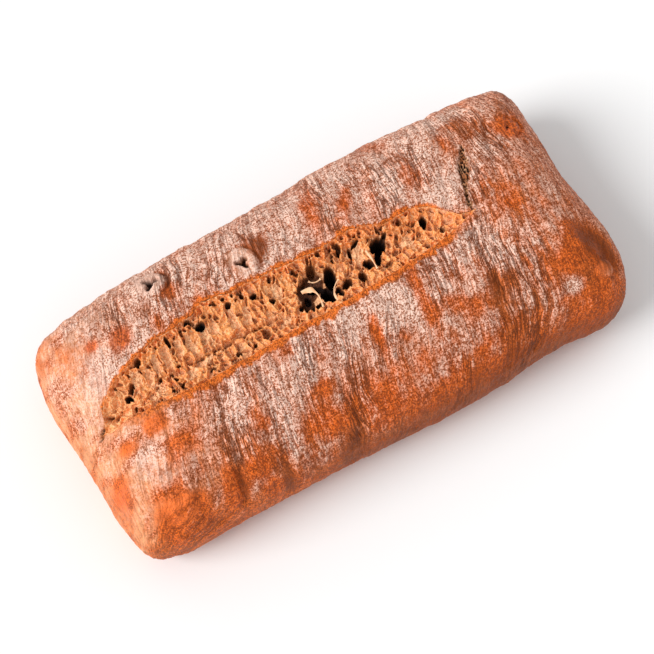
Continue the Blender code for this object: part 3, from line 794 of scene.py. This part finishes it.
# ---------------------------------------------------------------- meshes


def grid_faces(rows, columns):
    """Four-sided faces of a grid of rows and columns of points, row by row."""
    index = np.arange(rows * columns).reshape(rows, columns)
    corners = (index[:-1, :-1], index[:-1, 1:], index[1:, 1:], index[1:, :-1])
    return np.stack([corner.ravel() for corner in corners], axis=-1)


def face_directions(points, faces):
    """Direction of each face, as long as its area twice over: its crossed diagonals."""
    return np.cross(
        points[faces[:, 2]] - points[faces[:, 0]], points[faces[:, 3]] - points[faces[:, 1]]
    )


def point_normals(points, faces):
    """Direction of the surface at each point: the faces' directions, added up there."""
    cross = face_directions(points, faces)
    total = np.zeros_like(points)
    for axis in range(3):
        weight = np.repeat(cross[:, axis], 4)
        total[:, axis] = np.bincount(faces.ravel(), weight, minlength=len(points))
    return total / np.maximum(np.linalg.norm(total, axis=1, keepdims=True), 1e-12)


def outward_faces(points, groups):
    """Face lists turned so that each grid faces away from the middle of the loaf."""
    middle = np.array([0.0, 0.0, 24.0])
    turned = []
    for quads in groups:
        away = points[quads].mean(axis=1) - middle
        outward = (face_directions(points, quads) * away).sum() > 0.0
        turned.append(quads if outward else quads[:, ::-1])
    return turned


def put_piece(name, points, faces, normals, tones, stretch, material):
    """A smooth mesh object from points in millimetres, with its tones as point attributes. It
    rides the loaf's one body, stands for its node and wears its slot."""
    mesh = bpy.data.meshes.new(name)
    mesh.vertices.add(len(points))
    mesh.vertices.foreach_set("co", (points * 0.001).astype(np.float32).ravel())
    mesh.loops.add(faces.size)
    mesh.loops.foreach_set("vertex_index", faces.astype(np.int32).ravel())
    mesh.polygons.add(len(faces))
    mesh.polygons.foreach_set("loop_start", np.arange(0, faces.size, 4, dtype=np.int32))
    mesh.polygons.foreach_set("loop_total", np.full(len(faces), 4, dtype=np.int32))
    mesh.update(calc_edges=True)
    mesh.polygons.foreach_set("use_smooth", np.ones(len(faces), dtype=bool))
    for tone, values in tones.items():
        layer = mesh.attributes.new(tone, "FLOAT", "POINT")
        layer.data.foreach_set("value", values.astype(np.float32).ravel())
    if stretch is not None:
        layer = mesh.attributes.new("stretch", "FLOAT_VECTOR", "POINT")
        layer.data.foreach_set("vector", stretch.astype(np.float32).ravel())
    if normals is not None:
        mesh.normals_split_custom_set_from_vertices(normals.astype(np.float32))
    mesh.materials.append(material)
    piece = bpy.data.objects.new(name, mesh)
    bpy.context.scene.collection.objects.link(piece)
    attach(piece, "root")
    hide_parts("ciabatta")


def gathered(count):
    """Shares from 0 to 1 that gather towards 1: 1 less a power of what is left."""
    return 1.0 - (1.0 - np.linspace(0.0, 1.0, count + 1)) ** GATHER_POWER


def side_shares():
    """Shares up the side, closer above the widest line, where more of the side shows."""
    low = np.linspace(0.0, WIDEST_SHARE, SIDE_ROWS[0])
    return np.concatenate([low, np.linspace(WIDEST_SHARE, 1.0, SIDE_ROWS[1])[1:]])


def crust_patches(columns, top_rows):
    """The four crust grids: near and far (base to lip), left and right ends. Each is square
    places along and across, shares up the side, and which lip it runs to (0, 1 or none)."""
    along = np.linspace(-1.0, 1.0, columns + 1)
    near_row, far_row = lip_rows(along)
    up = side_shares()
    climb = gathered(top_rows)[1:]
    found = {}
    for which, (name, edge, row) in enumerate(
        (("crust_near", -1.0, near_row), ("crust_far", 1.0, far_row))
    ):
        across = np.concatenate(
            [np.full((len(up), columns + 1), edge), edge + (row - edge)[None] * climb[:, None]]
        )
        share = np.concatenate([up, np.ones(len(climb))])[:, None]
        found[name] = (along[None] + 0.0 * across, across, share + 0.0 * across, which)
    for name, end, pick in (("crust_left_end", -1.0, 0), ("crust_right_end", 1.0, -1)):
        near = -1.0 + (near_row[pick] + 1.0) * gathered(top_rows)
        far = 1.0 + (far_row[pick] - 1.0) * gathered(top_rows)
        across = np.concatenate([near, far[::-1][1:]])
        grid = across[None] + 0.0 * up[:, None]
        found[name] = (np.full_like(grid, end), grid, up[:, None] + 0.0 * grid, None)
    return found


def listed(found):
    """The crust's grids as one list: (points, flattened places, each grid's faces turned
    outward, and each grid's stretch of the list)."""
    plain, flats, faces, picks, start = [], [], [], [], 0
    for along, across, share, _ in found.values():
        points, flat = loaf_place(along, across, share)
        plain.append(points.reshape(-1, 3))
        flats.append(flat.reshape(-1, 2))
        faces.append(grid_faces(*along.shape) + start)
        picks.append(slice(start, start + along.size))
        start += along.size
    points = np.concatenate(plain)
    return points, np.concatenate(flats), outward_faces(points, faces), picks


def welded_normals(points, faces, same):
    """Direction at each point, where points with the same number count as one."""
    joined = np.zeros((same.max() + 1, 3))
    joined[same] = points
    return point_normals(joined, same[np.concatenate(faces)])[same]


def lip_distances(points, found, picks):
    """(distance outside the gash's lip, 1 past its far lip, how far the gash is open) for the
    crust's points: near or far lip less the point's own Y, and never below nothing."""
    near, far, opening = lips(points[:, 0])
    away, far_side = np.full(len(points), FAR_AWAY), np.zeros(len(points))
    for (_, _, _, which), pick in zip(found.values(), picks):
        if which == 0:
            away[pick] = (near - points[:, 1])[pick]
        elif which == 1:
            away[pick] = (points[:, 1] - far)[pick]
            far_side[pick] = 1.0
    return np.clip(away, 0.0, None), far_side, opening


def fit_to_box(points):
    """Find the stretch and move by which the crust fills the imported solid's box, less a margin
    at the sides and the top."""
    low = np.array(CAD_BOX[0]) * MILLIMETRES + BOX_MARGIN
    high = np.array(CAD_BOX[1]) * MILLIMETRES - BOX_MARGIN
    low[2] = 0.0
    own_low, own_high = points.min(axis=0), points.max(axis=0)
    FIT["scale"] = (high - low) / (own_high - own_low)
    FIT["move"] = low - own_low * FIT["scale"]


def fitted(points):
    """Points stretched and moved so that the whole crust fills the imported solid's box."""
    return points * FIT["scale"] + FIT["move"]


def swept_strand(places, half_wide, half_thick, fullest):
    """A strand: an oval ring carried along a bent path through three places, widest at one
    share of the way along, thin elsewhere and spread a little at its two roots."""
    run = np.linspace(0.0, 1.0, 33)[:, None]
    start, middle, end = (np.array(place) for place in places)
    path = (1.0 - run) ** 2 * start + 2.0 * run * (1.0 - run) * middle + run**2 * end
    ahead = np.gradient(path, axis=0)
    ahead /= np.linalg.norm(ahead, axis=1, keepdims=True)
    aside = np.cross(ahead, np.array([0.0, 0.0, 1.0]))
    aside /= np.linalg.norm(aside, axis=1, keepdims=True)
    above = np.cross(aside, ahead)
    ring = np.linspace(0.0, 2.0 * math.pi, 13)[None]
    fuller = bell((run - fullest) / 0.20)
    rooted = 0.35 * (2.0 * run - 1.0) ** 6
    uneven = 1.0 + 0.30 * ripple(run * 6.0 + start[0], ring / 2.0, 211)
    wide = (half_wide * fuller + 0.24 * (1.0 - fuller) + rooted) * uneven * np.cos(ring)
    thick = (half_thick + rooted) * uneven * np.sin(ring)
    return path[:, None] + wide[..., None] * aside[:, None] + thick[..., None] * above[:, None]


# ---------------------------------------------------------------- materials


def make_material(name):
    """An empty node material: (material, node tree, shader)."""
    material = bpy.data.materials.new(name)
    material.use_nodes = True
    tree = material.node_tree
    return material, tree, tree.nodes["Principled BSDF"]


class Wiring:
    """Short calls for laying nodes in one material's tree."""

    def __init__(self, tree):
        self.tree = tree

    def put(self, target, value):
        """Link a socket, or set a plain value."""
        if isinstance(value, bpy.types.NodeSocket):
            self.tree.links.new(value, target)
        else:
            target.default_value = value

    def tone(self, name, vector=False):
        """A point attribute of the piece."""
        node = self.tree.nodes.new("ShaderNodeAttribute")
        node.attribute_name = name
        return node.outputs["Vector" if vector else "Fac"]

    def place(self):
        """The piece's own coordinates in metres."""
        return self.tree.nodes.new("ShaderNodeTexCoord").outputs["Object"]

    def scaled(self, vector, scale):
        """A vector multiplied axis by axis."""
        node = self.tree.nodes.new("ShaderNodeMapping")
        self.put(node.inputs["Vector"], vector)
        node.inputs["Scale"].default_value = scale
        return node.outputs["Vector"]

    def noise(self, vector, scale, detail=2.0, rough=0.5):
        """Soft noise, 0 to 1 about a half."""
        node = self.tree.nodes.new("ShaderNodeTexNoise")
        self.put(node.inputs["Vector"], vector)
        node.inputs["Scale"].default_value = scale
        node.inputs["Detail"].default_value = detail
        node.inputs["Roughness"].default_value = rough
        return node.outputs["Fac"]

    def step(self, operation, first, second=0.0, third=0.0, held=False):
        """One step of arithmetic, held from 0 to 1 if asked."""
        node = self.tree.nodes.new("ShaderNodeMath")
        node.operation = operation
        node.use_clamp = held
        for socket, value in zip(node.inputs, (first, second, third)):
            self.put(socket, value)
        return node.outputs[0]

    def times(self, first, second):
        """Two values multiplied."""
        return self.step("MULTIPLY", first, second)

    def onto(self, base, value, weight, held=False):
        """A value times its weight, added onto a base."""
        return self.step("MULTIPLY_ADD", value, weight, base, held)

    def stirred(self, base, noise, weight, held=False):
        """Noise about its middle, times its weight, added onto a base."""
        return self.onto(base, self.step("SUBTRACT", noise, 0.5), weight, held)

    def between(self, value, low, high, start=0.0, end=1.0):
        """A value eased from one range to another and held at its ends."""
        node = self.tree.nodes.new("ShaderNodeMapRange")
        node.interpolation_type = "SMOOTHSTEP"
        for socket, number in zip(node.inputs[:5], (value, low, high, start, end)):
            self.put(socket, number)
        return node.outputs[0]

    def blend(self, share, first, second):
        """Two colours mixed by a share."""
        node = self.tree.nodes.new("ShaderNodeMix")
        node.data_type = "RGBA"
        self.put(node.inputs[0], share)
        self.put(node.inputs[6], first)
        self.put(node.inputs[7], second)
        return node.outputs[2]

    def bump(self, height, distance, strength):
        """A bumped direction from a height."""
        node = self.tree.nodes.new("ShaderNodeBump")
        self.put(node.inputs["Height"], height)
        node.inputs["Distance"].default_value = distance
        node.inputs["Strength"].default_value = strength
        return node.outputs["Normal"]


def thin_lines(wiring, stretch, across, along, width, detail):
    """Hairline cracks along the wrinkles, where noise stretched along them passes its middle:
    (the line, the flour around it: less close by, more a little further out)."""
    noise = wiring.noise(wiring.scaled(stretch, (across, along, 1.0)), 1.0, detail, 0.55)
    away = wiring.step("ABSOLUTE", wiring.step("SUBTRACT", noise, 0.5))
    line = wiring.between(away, width * 0.3, width, 1.0, 0.0)
    rise = wiring.between(away, width * 0.8, width * 2.8, -1.0, 0.5)
    fall = wiring.between(away, width * 2.8, width * 5.0, 0.0, -0.5)
    return line, wiring.step("ADD", rise, fall)


def crust_material(look):
    """Baked crust: mottled browns under a dusting of flour, with cracks, bare glossy patches and
    toasted lips, painted shade in cracks, creases, holes and low sides, painted light at the left
    end and painted glints, all steered by the tones that the surface carries."""
    material, tree, shader = make_material("baked_crust")
    w = Wiring(tree)
    place = w.place()
    stretch = w.tone("stretch", True)
    grain = w.noise(place, 1250.0, 1.0, 1.0)
    mottle = w.noise(place, 430.0, 3.0, 0.65)
    cloud = w.noise(place, 110.0, 3.0, 0.55)
    streak = w.noise(w.scaled(stretch, (8.0, 1.5, 1.0)), 1.0, 3.0, 0.6)
    wide, wide_flour = thin_lines(w, stretch, 2.2, 0.26, 0.030, 3.0)
    hair, hair_flour = thin_lines(w, stretch, 4.2, 0.62, 0.040, 3.0)
    bare, flour, dark = w.tone("bare"), w.tone("flour"), w.tone("dark")
    bundle, pale = w.tone("bundle"), w.tone("pale")
    hair = w.times(hair, w.between(streak, 0.34, 0.52, 0.0, 0.8))
    lined = w.times(w.step("MAXIMUM", wide, hair), w.between(bundle, 0.0, 1.0, 0.35, 0.85))
    spared = w.onto(wide_flour, hair_flour, 0.6)
    spared = w.times(spared, w.between(bundle, -0.2, 0.9, 0.2, 1.0))

    brown = w.blend(w.between(cloud, 0.35, 0.65), look.crust_deep, look.crust)
    # Paler crust with painted light at the left end, on plain and on bare crust.
    colour = w.blend(w.times(pale, 0.85), brown, look.pale)
    bright = w.blend(w.between(pale, 0.1, 0.7), look.bare, look.bare_pale_lit)
    colour = w.blend(w.times(bare, 0.85), colour, bright)
    colour = w.blend(w.times(w.tone("red"), 0.85), colour, look.red)

    dusting = flour
    for noise, weight in ((mottle, 1.2), (streak, 0.5), (grain, 1.2)):
        dusting = w.stirred(dusting, noise, weight)
    dusting = w.onto(dusting, spared, 0.26)
    dusted = w.between(dusting, -0.20, 1.05, 0.0, 0.94)
    colour = w.blend(dusted, colour, look.flour)
    # Dark crust: scorched patches and painted shade, mottled.
    deepen = w.times(dark, w.between(mottle, 0.32, 0.66, 0.50, 1.0))
    colour = w.blend(w.times(deepen, 0.94), colour, look.dark)
    dull = w.between(cloud, 0.50, 0.38, 0.0, 0.32)
    colour = w.blend(dull, colour, look.crust_deep)
    speck = w.onto(w.onto(-0.1, grain, 0.8), mottle, 0.4)
    pit = w.blend(dusted, look.pit, look.flour_pit)
    soft = w.between(pale, 0.1, 0.8, 1.0, 0.35)
    pitted = w.times(w.between(speck, 0.498, 0.43, 0.0, 0.86), soft)
    colour = w.blend(pitted, colour, pit)
    # Light flecks: the crust's grain and painted glints, fewer on dark and pale crust.
    fleck_glint = w.between(speck, 0.508, 0.555, 0.0, 0.82)
    fleck_glint = w.times(fleck_glint, w.between(dark, 0.0, 1.0, 1.0, 0.20))
    fleck_glint = w.times(fleck_glint, w.between(soft, 0.3, 1.0, 0.5, 1.0))
    colour = w.blend(fleck_glint, colour, w.blend(dusted, look.bare_fleck_glint, look.fleck_glint))
    # Cracks: bare crust and painted shade in them.
    colour = w.blend(w.times(lined, 0.85), colour, look.groove_shade)
    toasted = w.blend(w.between(speck, 0.42, 0.52), look.toast_deep, look.toast)
    toasted = w.blend(w.times(fleck_glint, 0.8), toasted, look.bare_fleck_glint)
    colour = w.blend(w.times(w.tone("toast"), 0.95), colour, toasted)
    torn = w.blend(w.between(mottle, 0.40, 0.66), look.crumb_shade, look.crumb)
    colour = w.blend(w.times(w.tone("torn"), 0.85), colour, torn)
    # Painted shade, near black, in the torn stars and the slits' deep cells.
    colour = w.blend(w.tone("hole"), colour, look.hollow_shade)
    w.put(shader.inputs["Base Color"], colour)

    rough = w.between(dusted, 0.0, 0.8, 0.50, 0.92)
    rough = w.stirred(rough, grain, 0.25, True)
    w.put(shader.inputs["Roughness"], rough)
    shader.inputs["Specular IOR Level"].default_value = 0.12
    height = w.times(mottle, 0.50)
    for part, weight in ((grain, 0.60), (streak, 0.30), (lined, -0.55), (spared, 0.16)):
        height = w.onto(height, part, weight)
    w.put(shader.inputs["Normal"], w.bump(height, 0.0009, look.roughness_depth))
    return material


def crumb_material(look):
    """Open crumb: bright walls round duller, slightly glossy cells, toasted towards the lips, with
    light flecks of painted highlight and painted shade, brown to black, in the holes."""
    material, tree, shader = make_material("torn_crumb")
    w = Wiring(tree)
    place = w.place()
    fine = w.noise(place, 1100.0, 3.0, 0.65)
    soft = w.noise(place, 260.0, 3.0, 0.55)
    wall, toast, deep, own = w.tone("wall"), w.tone("toast"), w.tone("deep"), w.tone("own")
    pocket = w.tone("pocket")
    inside = w.blend(w.between(own, 0.15, 0.75), look.crumb_shade, look.crumb)
    high = w.between(wall, 0.35, 0.75)
    colour = w.blend(high, inside, look.crumb_wall)
    patchy = w.between(soft, 0.35, 0.65, 0.55, 1.0)
    browned = w.times(toast, patchy)
    toasted = w.blend(w.between(wall, 0.25, 0.6), look.toast_deep, look.toast)
    colour = w.blend(w.times(browned, 0.9), colour, toasted)
    colour = w.blend(w.times(pocket, 0.36), colour, look.pocket)
    colour = w.blend(w.between(fine, 0.49, 0.38, 0.0, 0.46), colour, look.toast_deep)
    # Light flecks of strand colour: painted highlights on the crumb.
    colour = w.blend(w.between(fine, 0.51, 0.60, 0.0, 0.52), colour, look.strand)
    # Painted shade in the holes: brown in the middling ones, near black in the deep ones.
    colour = w.blend(w.between(deep, 0.0, 0.55), colour, look.cavity_shade)
    colour = w.blend(w.between(deep, 0.35, 1.0), colour, look.hollow_shade)
    w.put(shader.inputs["Base Color"], colour)
    w.put(shader.inputs["Roughness"], w.between(fine, 0.3, 0.7, 0.5, 0.8))
    shader.inputs["Specular IOR Level"].default_value = 0.4
    height = w.onto(w.times(soft, 0.3), fine, 0.6)
    w.put(shader.inputs["Normal"], w.bump(height, 0.0008, 0.8))
    return material


def strand_material(look):
    """Thin walls left standing in the torn cells, pale at their edges."""
    material, tree, shader = make_material("crumb_strand")
    w = Wiring(tree)
    fine = w.noise(w.place(), 900.0, 3.0, 0.6)
    colour = w.blend(w.between(fine, 0.35, 0.65), look.crumb, look.strand)
    w.put(shader.inputs["Base Color"], colour)
    w.put(shader.inputs["Roughness"], w.between(fine, 0.3, 0.7, 0.4, 0.65))
    w.put(shader.inputs["Normal"], w.bump(fine, 0.0003, 0.4))
    return material


def floor_material(stage):
    """Plain pale ground, barely uneven."""
    material, tree, shader = make_material("pale_floor")
    w = Wiring(tree)
    soft = w.noise(w.place(), 3.0, 2.0)
    edge = (*(0.985 * part for part in stage.floor[:3]), 1.0)
    w.put(shader.inputs["Base Color"], w.blend(soft, edge, tuple(stage.floor)))
    w.put(shader.inputs["Roughness"], w.between(soft, 0.3, 0.7, 0.85, 0.95))
    return material


# ---------------------------------------------------------------- sizes and colours


def colour_property(name, description, value):
    """A colour setting."""
    return bpy.props.FloatVectorProperty(
        name=name, description=description, subtype="COLOR", size=4, min=0.0, max=1.0,
        default=(*value, 1.0),
    )


def angle_property(name, description, degrees):
    """An angle setting, given in degrees."""
    return bpy.props.FloatProperty(
        name=name, description=description, unit="ROTATION", default=math.radians(degrees)
    )


class CiabattaLook(bpy.types.PropertyGroup):
    """Colours and fineness of crust and crumb."""

    columns: bpy.props.IntProperty(
        name="Columns", description="Faces along the loaf", default=720, min=60, max=900
    )
    top_rows: bpy.props.IntProperty(
        name="Top rows", description="Faces from shoulder to lip", default=82, min=12, max=120
    )
    roughness_depth: bpy.props.FloatProperty(
        name="Grain", description="Strength of the crust's fine grain", subtype="FACTOR",
        default=0.75, min=0.0, max=1.0,
    )
    crust: colour_property("Crust", "Middle brown of the crust", (0.68, 0.180, 0.050))
    crust_deep: colour_property("Deep crust", "Darker brown of the crust", (0.50, 0.095, 0.014))
    bare: colour_property("Bare crust", "Bright crust without flour", (0.61, 0.084, 0.005))
    # Bare and plain crust of the left end: paler crust with painted light on it.
    bare_pale_lit: colour_property("Bare pale crust", "The same at the left end", (0.96, 0.17, 0.025))
    pale: colour_property("Pale crust", "Paler crust of the left end", (0.97, 0.46, 0.23))
    red: colour_property("Red crust", "Reddish blotches", (0.74, 0.15, 0.070))
    # Dark crust paints scorched patches and also shade in creases, moats, the right-end concavity
    # and the low sides.
    dark: colour_property("Dark crust", "Scorched patches", (0.15, 0.034, 0.006))
    # Colour of the cracks: bare crust with painted shade in them.
    groove_shade: colour_property("Grooves", "Dark brown of cracks and creases", (0.090, 0.020, 0.005))
    pit: colour_property("Pits", "Dark specks of the grain", (0.30, 0.060, 0.010))
    flour_pit: colour_property("Floured pits", "Dark specks in the flour", (0.33, 0.105, 0.042))
    # Light flecks: grain and painted glints, on flour and on bare crust.
    fleck_glint: colour_property("Flecks", "Light flecks of the grain", (1.0, 0.73, 0.60))
    bare_fleck_glint: colour_property("Bare flecks", "Light flecks off the flour", (0.92, 0.19, 0.026))
    flour: colour_property("Flour", "Dusting on the crust", (0.96, 0.62, 0.49))
    toast: colour_property("Toast", "Toasted ridges at the lips", (0.88, 0.22, 0.032))
    toast_deep: colour_property("Deep toast", "Toasted hollows at the lips", (0.34, 0.062, 0.008))
    crumb: colour_property("Crumb", "Cells of the crumb", (0.96, 0.50, 0.25))
    crumb_shade: colour_property("Shaded crumb", "Darker cells", (0.50, 0.145, 0.036))
    crumb_wall: colour_property("Crumb walls", "Walls between cells", (0.97, 0.385, 0.115))
    pocket: colour_property("Pockets", "Smooth floors of the broad cells", (0.99, 0.55, 0.27))
    strand: colour_property("Strands", "Thin walls in torn cells", (0.97, 0.66, 0.40))
    # Painted shade: brown for the crumb's middling holes, near black for deep holes and tears.
    cavity_shade: colour_property("Cavities", "Brown of the middling holes", (0.24, 0.066, 0.012))
    hollow_shade: colour_property("Hollows", "Deep holes", (0.016, 0.005, 0.003))


class CiabattaStage(bpy.types.PropertyGroup):
    """The studio: ground, lights and camera."""

    floor: colour_property("Floor", "Pale ground", (0.96, 0.96, 0.96))
    key: bpy.props.FloatProperty(
        name="Key light", description="Strength of the soft light", default=2.6, min=0.0
    )
    key_spread: angle_property("Key spread", "Width of the light as seen from the loaf", 34.0)
    key_turn: angle_property("Key turn", "The light's turn from the loaf's right", 173.0)
    key_rise: angle_property("Key rise", "Light's height above the horizon", 37.0)
    sky: bpy.props.FloatProperty(
        name="Sky", description="Strength of the even white surround", default=0.62, min=0.0
    )
    turn: angle_property("Turn", "Camera's turn round the loaf", -32.0)
    rise: angle_property("Rise", "Camera's height above the horizon", 65.0)
    distance: bpy.props.FloatProperty(
        name="Distance", description="From camera to loaf", unit="LENGTH", default=0.7539
    )
    lens: bpy.props.FloatProperty(
        name="Lens", description="Focal length", unit="CAMERA", default=100.0
    )


# ---------------------------------------------------------------- operators


def make_base(look, material):
    """The face the loaf rests on: straight runs from the near base edge to the far one, flat
    at the edge and dented upward a little within."""
    along = np.linspace(-1.0, 1.0, look.columns // 2 + 1)[None]
    share = np.zeros_like(along)
    near, near_flat = loaf_place(along, -np.ones_like(along), share)
    far, far_flat = loaf_place(along, np.ones_like(along), share)
    across = np.linspace(0.0, 1.0, BASE_ROWS)[:, None, None]
    points = fitted(near + (far - near) * across)
    flat = near_flat + (far_flat - near_flat) * across
    x, y = points[..., 0], points[..., 1]
    edge = smooth_step((1.0 - np.abs(2.0 * across[..., 0] - 1.0)) / 0.1)
    edge = edge * smooth_step((1.0 - np.abs(along)) / 0.06)
    dents = np.clip(ripples(x / 9.0, y / 9.0, 201), 0.0, None)
    points[..., 2] = 0.7 * edge * dents
    zero = np.zeros_like(x)
    tones = dict.fromkeys(CRUST_TONES, zero)
    tones["flour"] = 0.55 + 0.4 * ripples(x / 14.0, y / 14.0, 203)
    tones["dark"] = held(0.3 * ripples(x / 18.0, y / 18.0, 207) + 0.2)
    stretch = np.stack([flat[..., 0] * 0.1, flat[..., 1] * 0.1, zero], axis=-1)
    quads = grid_faces(*x.shape)
    flat_points = points.reshape(-1, 3)
    if point_normals(flat_points, quads)[:, 2].mean() > 0.0:
        quads = quads[:, ::-1]
    put_piece("crust_base", flat_points, quads, None, tones, stretch, material)


class CIABATTA_OT_crust(bpy.types.Operator):
    """Crust from the base up to the gash's lips, in four grids and a base"""

    bl_idname = "ciabatta.crust"
    bl_label = "Crust"

    def execute(self, context):
        look = context.scene.ciabatta_look
        found = crust_patches(look.columns, look.top_rows)
        points, flat, faces, picks = listed(found)
        _, same = np.unique(np.round(points, 3), axis=0, return_inverse=True)
        same = same.ravel()
        normals = welded_normals(points, faces, same)
        away, far_side, opening = lip_distances(points, found, picks)
        relief, tones, stretch = crust_surface(points, flat, away, far_side, opening)
        relief = np.bincount(same, relief) / np.bincount(same)
        shaped = points + normals * relief[same][:, None]
        shaped[:, 2] = np.maximum(shaped[:, 2], 0.0)
        fit_to_box(shaped)
        shaped = fitted(shaped)
        normals = welded_normals(shaped, faces, same)
        material = crust_material(look)
        for name, quads, pick in zip(found, faces, picks):
            put_piece(
                name, shaped[pick], quads - pick.start, normals[pick],
                {tone: values[pick] for tone, values in tones.items()}, stretch[pick], material,
            )
        make_base(look, material)
        return {"FINISHED"}


class CIABATTA_OT_crumb(bpy.types.Operator):
    """Open crumb between the gash's lips, with its torn cells"""

    bl_idname = "ciabatta.crumb"
    bl_label = "Crumb"

    def execute(self, context):
        if "scale" not in FIT:
            raise RuntimeError("Build the crust first: the crumb is fitted with it")
        look = context.scene.ciabatta_look
        along = np.linspace(-0.999, 0.8, 3601)
        middle = sum(lip_rows(along)) / 2.0
        reach, _ = loaf_place(along, middle, np.ones_like(along))
        near, far, _ = lips(reach[:, 0])
        torn = along[far - near > 0.02]
        along = np.linspace(torn[0] - 0.003, torn[-1] + 0.003, CRUMB_COLUMNS)
        near_row, far_row = lip_rows(along, CRUMB_OVERLAP)
        step = np.linspace(0.0, 1.0, CRUMB_ROWS)[:, None] + 0.0 * along[None]
        across = near_row + (far_row - near_row) * step
        plain, _ = loaf_place(along[None] + 0.0 * step, across, np.ones_like(step))
        quads = grid_faces(*step.shape)
        points = plain.reshape(-1, 3)
        normals = point_normals(points, quads)
        if normals[:, 2].mean() < 0.0:
            quads, normals = quads[:, ::-1], -normals
        near, far, opening = lips(plain[..., 0])
        relief, tones = crumb_surface(plain[..., 0], plain[..., 1], near, far, opening)
        shaped = fitted(points + normals * relief.reshape(-1, 1))
        put_piece(
            "open_crumb", shaped, quads, point_normals(shaped, quads), tones, None,
            crumb_material(look),
        )
        return {"FINISHED"}


class CIABATTA_OT_strands(bpy.types.Operator):
    """Thin walls left standing across the torn cells"""

    bl_idname = "ciabatta.strands"
    bl_label = "Strands"

    def execute(self, context):
        look = context.scene.ciabatta_look
        points, faces, start = [], [], 0
        for *places, half_wide, half_thick, fullest in STRANDS:
            grid = swept_strand(places, half_wide, half_thick, fullest)[:, :-1]
            rows, columns = grid.shape[:2]
            index = np.arange(rows * columns).reshape(rows, columns) + start
            after = np.roll(index, -1, axis=1)
            quads = np.stack([index[:-1], index[1:], after[1:], after[:-1]], axis=-1)
            points.append(grid.reshape(-1, 3))
            faces.append(quads.reshape(-1, 4))
            start += rows * columns
        put_piece(
            "crumb_strands", np.concatenate(points), np.concatenate(faces), None, {}, None,
            strand_material(look),
        )
        return {"FINISHED"}


def aimed(context, name, data, place, back):
    """A camera or lamp at a place, looking against the direction it stands off in."""
    item = bpy.data.objects.new(name, data)
    item.location = place
    item.rotation_euler = back.to_track_quat("Z", "Y").to_euler()
    context.scene.collection.objects.link(item)
    return item


class CIABATTA_OT_stage(bpy.types.Operator):
    """Pale floor, soft lights and the camera"""

    bl_idname = "ciabatta.stage"
    bl_label = "Stage"

    def execute(self, context):
        stage = context.scene.ciabatta_stage
        bpy.ops.mesh.primitive_plane_add(size=FLOOR_SIZE, location=(0.0, 0.0, 0.0))
        floor = context.object
        floor.name = "floor"
        floor.data.materials.append(floor_material(stage))

        turn, rise = stage.turn, stage.rise
        back = Vector(
            (math.sin(turn) * math.cos(rise), -math.cos(turn) * math.cos(rise), math.sin(rise))
        )
        place = Vector(CAMERA_TARGET) + back * stage.distance
        camera = aimed(context, "camera", bpy.data.cameras.new("camera"), place, back)
        camera.data.lens = stage.lens
        camera.data.sensor_width = SENSOR_WIDTH
        camera.data.clip_start = 0.01
        context.scene.camera = camera

        light = bpy.data.lights.new("key", "SUN")
        light.energy = stage.key
        light.angle = stage.key_spread
        turn, rise = stage.key_turn, stage.key_rise
        toward = Vector(
            (math.cos(turn) * math.cos(rise), math.sin(turn) * math.cos(rise), math.sin(rise))
        )
        aimed(context, "key", light, toward, toward)

        world = bpy.data.worlds.new("studio")
        world.use_nodes = True
        surround = world.node_tree.nodes["Background"]
        surround.inputs["Color"].default_value = (1.0, 1.0, 1.0, 1.0)
        surround.inputs["Strength"].default_value = stage.sky
        context.scene.world = world
        context.scene.view_settings.view_transform = "Standard"
        context.scene.view_settings.look = "None"
        return {"FINISHED"}


class CIABATTA_PT_panel(bpy.types.Panel):
    """Sidebar panel that lists the loaf's pieces and its stage"""

    bl_idname = "CIABATTA_PT_panel"
    bl_label = "Ciabatta"
    bl_space_type = "VIEW_3D"
    bl_region_type = "UI"
    bl_category = "Ciabatta"

    def draw(self, context):
        layout = self.layout
        for operator in (
            CIABATTA_OT_crust, CIABATTA_OT_crumb, CIABATTA_OT_strands, CIABATTA_OT_stage,
        ):
            layout.operator(operator.bl_idname)
        for group in (context.scene.ciabatta_look, context.scene.ciabatta_stage):
            column = layout.column()
            for name in group.__annotations__:
                column.prop(group, name)


CLASSES = (
    CiabattaLook,
    CiabattaStage,
    CIABATTA_OT_crust,
    CIABATTA_OT_crumb,
    CIABATTA_OT_strands,
    CIABATTA_OT_stage,
    CIABATTA_PT_panel,
)


def register():
    """Add the classes and their settings."""
    for cls in CLASSES:
        bpy.utils.register_class(cls)
    bpy.types.Scene.ciabatta_look = bpy.props.PointerProperty(type=CiabattaLook)
    bpy.types.Scene.ciabatta_stage = bpy.props.PointerProperty(type=CiabattaStage)


def unregister():
    """Take them away again."""
    del bpy.types.Scene.ciabatta_look
    del bpy.types.Scene.ciabatta_stage
    for cls in reversed(CLASSES):
        bpy.utils.unregister_class(cls)


def main():
    """Build the loaf and its stage."""
    register()
    bpy.ops.ciabatta.stage()
    bpy.ops.ciabatta.crust()
    bpy.ops.ciabatta.crumb()
    bpy.ops.ciabatta.strands()
    bpy.context.view_layer.update()


if __name__ == "__main__":
    main()
